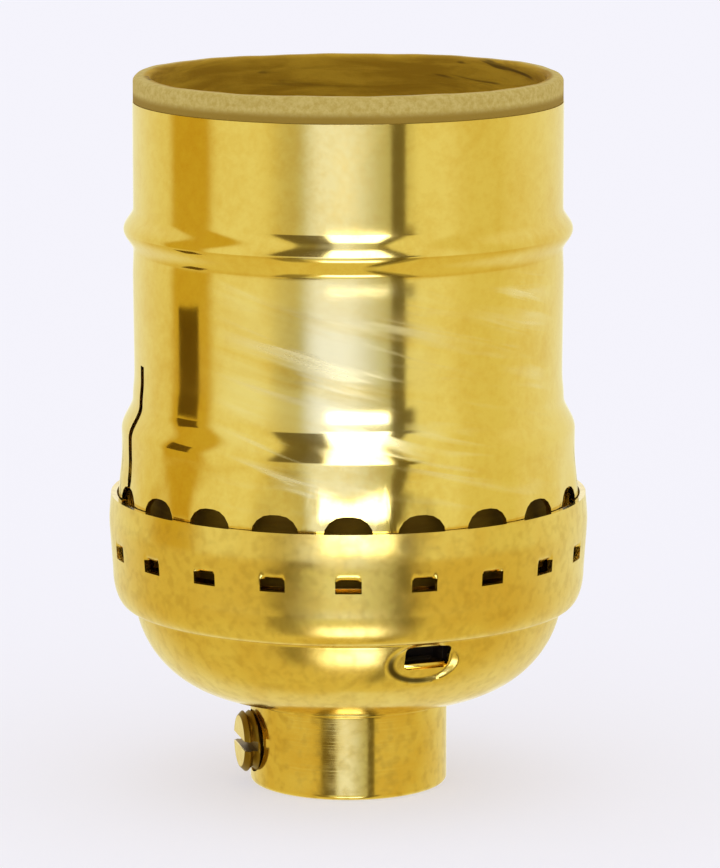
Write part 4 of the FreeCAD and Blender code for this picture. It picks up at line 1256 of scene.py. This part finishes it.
def make_dark_card():
    """Small dark card close to the shell's left, seen only in its polish."""
    left, near = CARD_PLACE
    ends = [view_right * left - toward_camera * (near + half) for half in (CARD_WIDTH / 2, -CARD_WIDTH / 2)]
    points = [[(end.x, end.y, z) for end in ends] for z in CARD_HEIGHTS]
    card = stage_sheet("dark_card", points, "card_felt", CARD_COLOR)
    card.visible_camera = False
    card.visible_diffuse = False
    card.visible_shadow = False


def tent_cloth(turn, rise):
    """Cloth of the tent: pale above the horizon and darker below, bright at the sides, warm on the left."""
    low = 1 - rise.between(*HORIZON)
    high = 1 - low
    tent = low.blend(TENT_PALE, TENT_LOW)
    tent = (1 - rise.between(-45, -20)).blend(tent, TENT_FOOT)
    glow = turn.inside(34, 58, 6) + turn.inside(-74, -46, 6)
    tent = (glow * high).blend(tent, TENT_GLOW)
    tent = (turn.inside(64, 94, 9) * high).blend(tent, TENT_DIM)
    sides = (turn.between(85, 140) + (0 - turn).between(105, 150)) * 0.8
    tent = sides.blend(tent, TENT_SIDES)
    behind = turn.math("ABSOLUTE").between(164, 178) * rise.between(-40, -25)
    tent = behind.blend(tent, TENT_BEHIND)
    tent = (turn.inside(-108, -78, 4) * high).blend(tent, WARM_PANEL)
    return (turn.inside(-38, -22, 8) * high * 0.5).blend(tent, TENT_SHADE)


def tent_lights(tent, turn, slid, rise):
    """The sheen below the camera, the bright box over it and the white table at the tent's foot."""
    lowest = 1 - rise.between(*LOWEST)
    sheen = slid.between(-30, -22) * (1 - turn.between(20, 28)) * rise.between(-36, -26)
    bright = slid.between(-29, -14) * (1 - turn.between(-4, 23))
    tent = sheen.blend(tent, bright.blend(SHEEN, lowest.blend(SHEEN_PEAK, SHEEN_FOOT)))
    box = turn.inside(-11, 21, 2.5) * rise.inside(-2, 55, 2.5)
    tent = box.blend(tent, LIGHT_BOX)
    table = turn.inside(-16, 18, 4) * rise.inside(-51, -33, 4)
    return table.blend(tent, WHITE_TABLE)


def tent_gaps(tent, turn, slid, rise):
    """Dark gaps: left of the box and below it, and on the right from the floor to the tent's top."""
    low = 1 - rise.between(*HORIZON)
    lowest = 1 - rise.between(*LOWEST)
    over = turn.inside(-40, -12, 2) * rise.between(2, 8)
    under = slid.inside(-41, -24, 3) * low * rise.between(-60, -40) * (0.92 - lowest * 0.22)
    right = turn.inside(22.5, 30.5, 1.4) + turn.inside(30, 38, 3) * lowest * 0.7
    right = right * rise.between(-80, -70) * 0.92
    blot = turn.inside(25, 35, 3) * rise.inside(-5, 10, 4)
    dark = right.math("MAXIMUM", under).math("MAXIMUM", over.math("MAXIMUM", blot) * 0.9)
    return (dark * (1 - rise.between(55, 75))).blend(tent, TENT_GAP)


def studio(world):
    """Tent that only reflections see, laid out in degrees to the camera's right and above the horizon."""
    world.use_nodes = True
    world.node_tree.nodes.clear()
    start = Wire(world.node_tree)
    x, y, z = start.node("ShaderNodeTexCoord", out="Generated").axes()
    front = x * toward_camera.x + y * toward_camera.y
    right = x * view_right.x + y * view_right.y
    turn = right.math("ARCTAN2", front) * DEGREES
    rise = z.math("ARCSINE") * DEGREES
    slid = turn - rise.inside(-17.5, -12.2, 0.8) * 9
    tent = tent_cloth(turn, rise)
    tent = tent_lights(tent, turn, slid, rise)
    tent = tent_gaps(tent, turn, slid, rise)
    tent = rise.between(70, 85).blend(tent, TENT_TOP)

    rays = start.node("ShaderNodeLightPath")
    seen = rays.out("Is Glossy Ray").blend(PLAIN_LIGHT, tent)
    seen = rays.out("Is Camera Ray").blend(seen, BACKGROUND)
    light = start.node("ShaderNodeBackground", {"Color": seen})
    start.node("ShaderNodeOutputWorld", {"Surface": light})


make_floor()
make_dark_card()
world = bpy.data.worlds.new("studio")
bpy.context.scene.world = world
studio(world)
bpy.context.scene.view_settings.view_transform = "Standard"
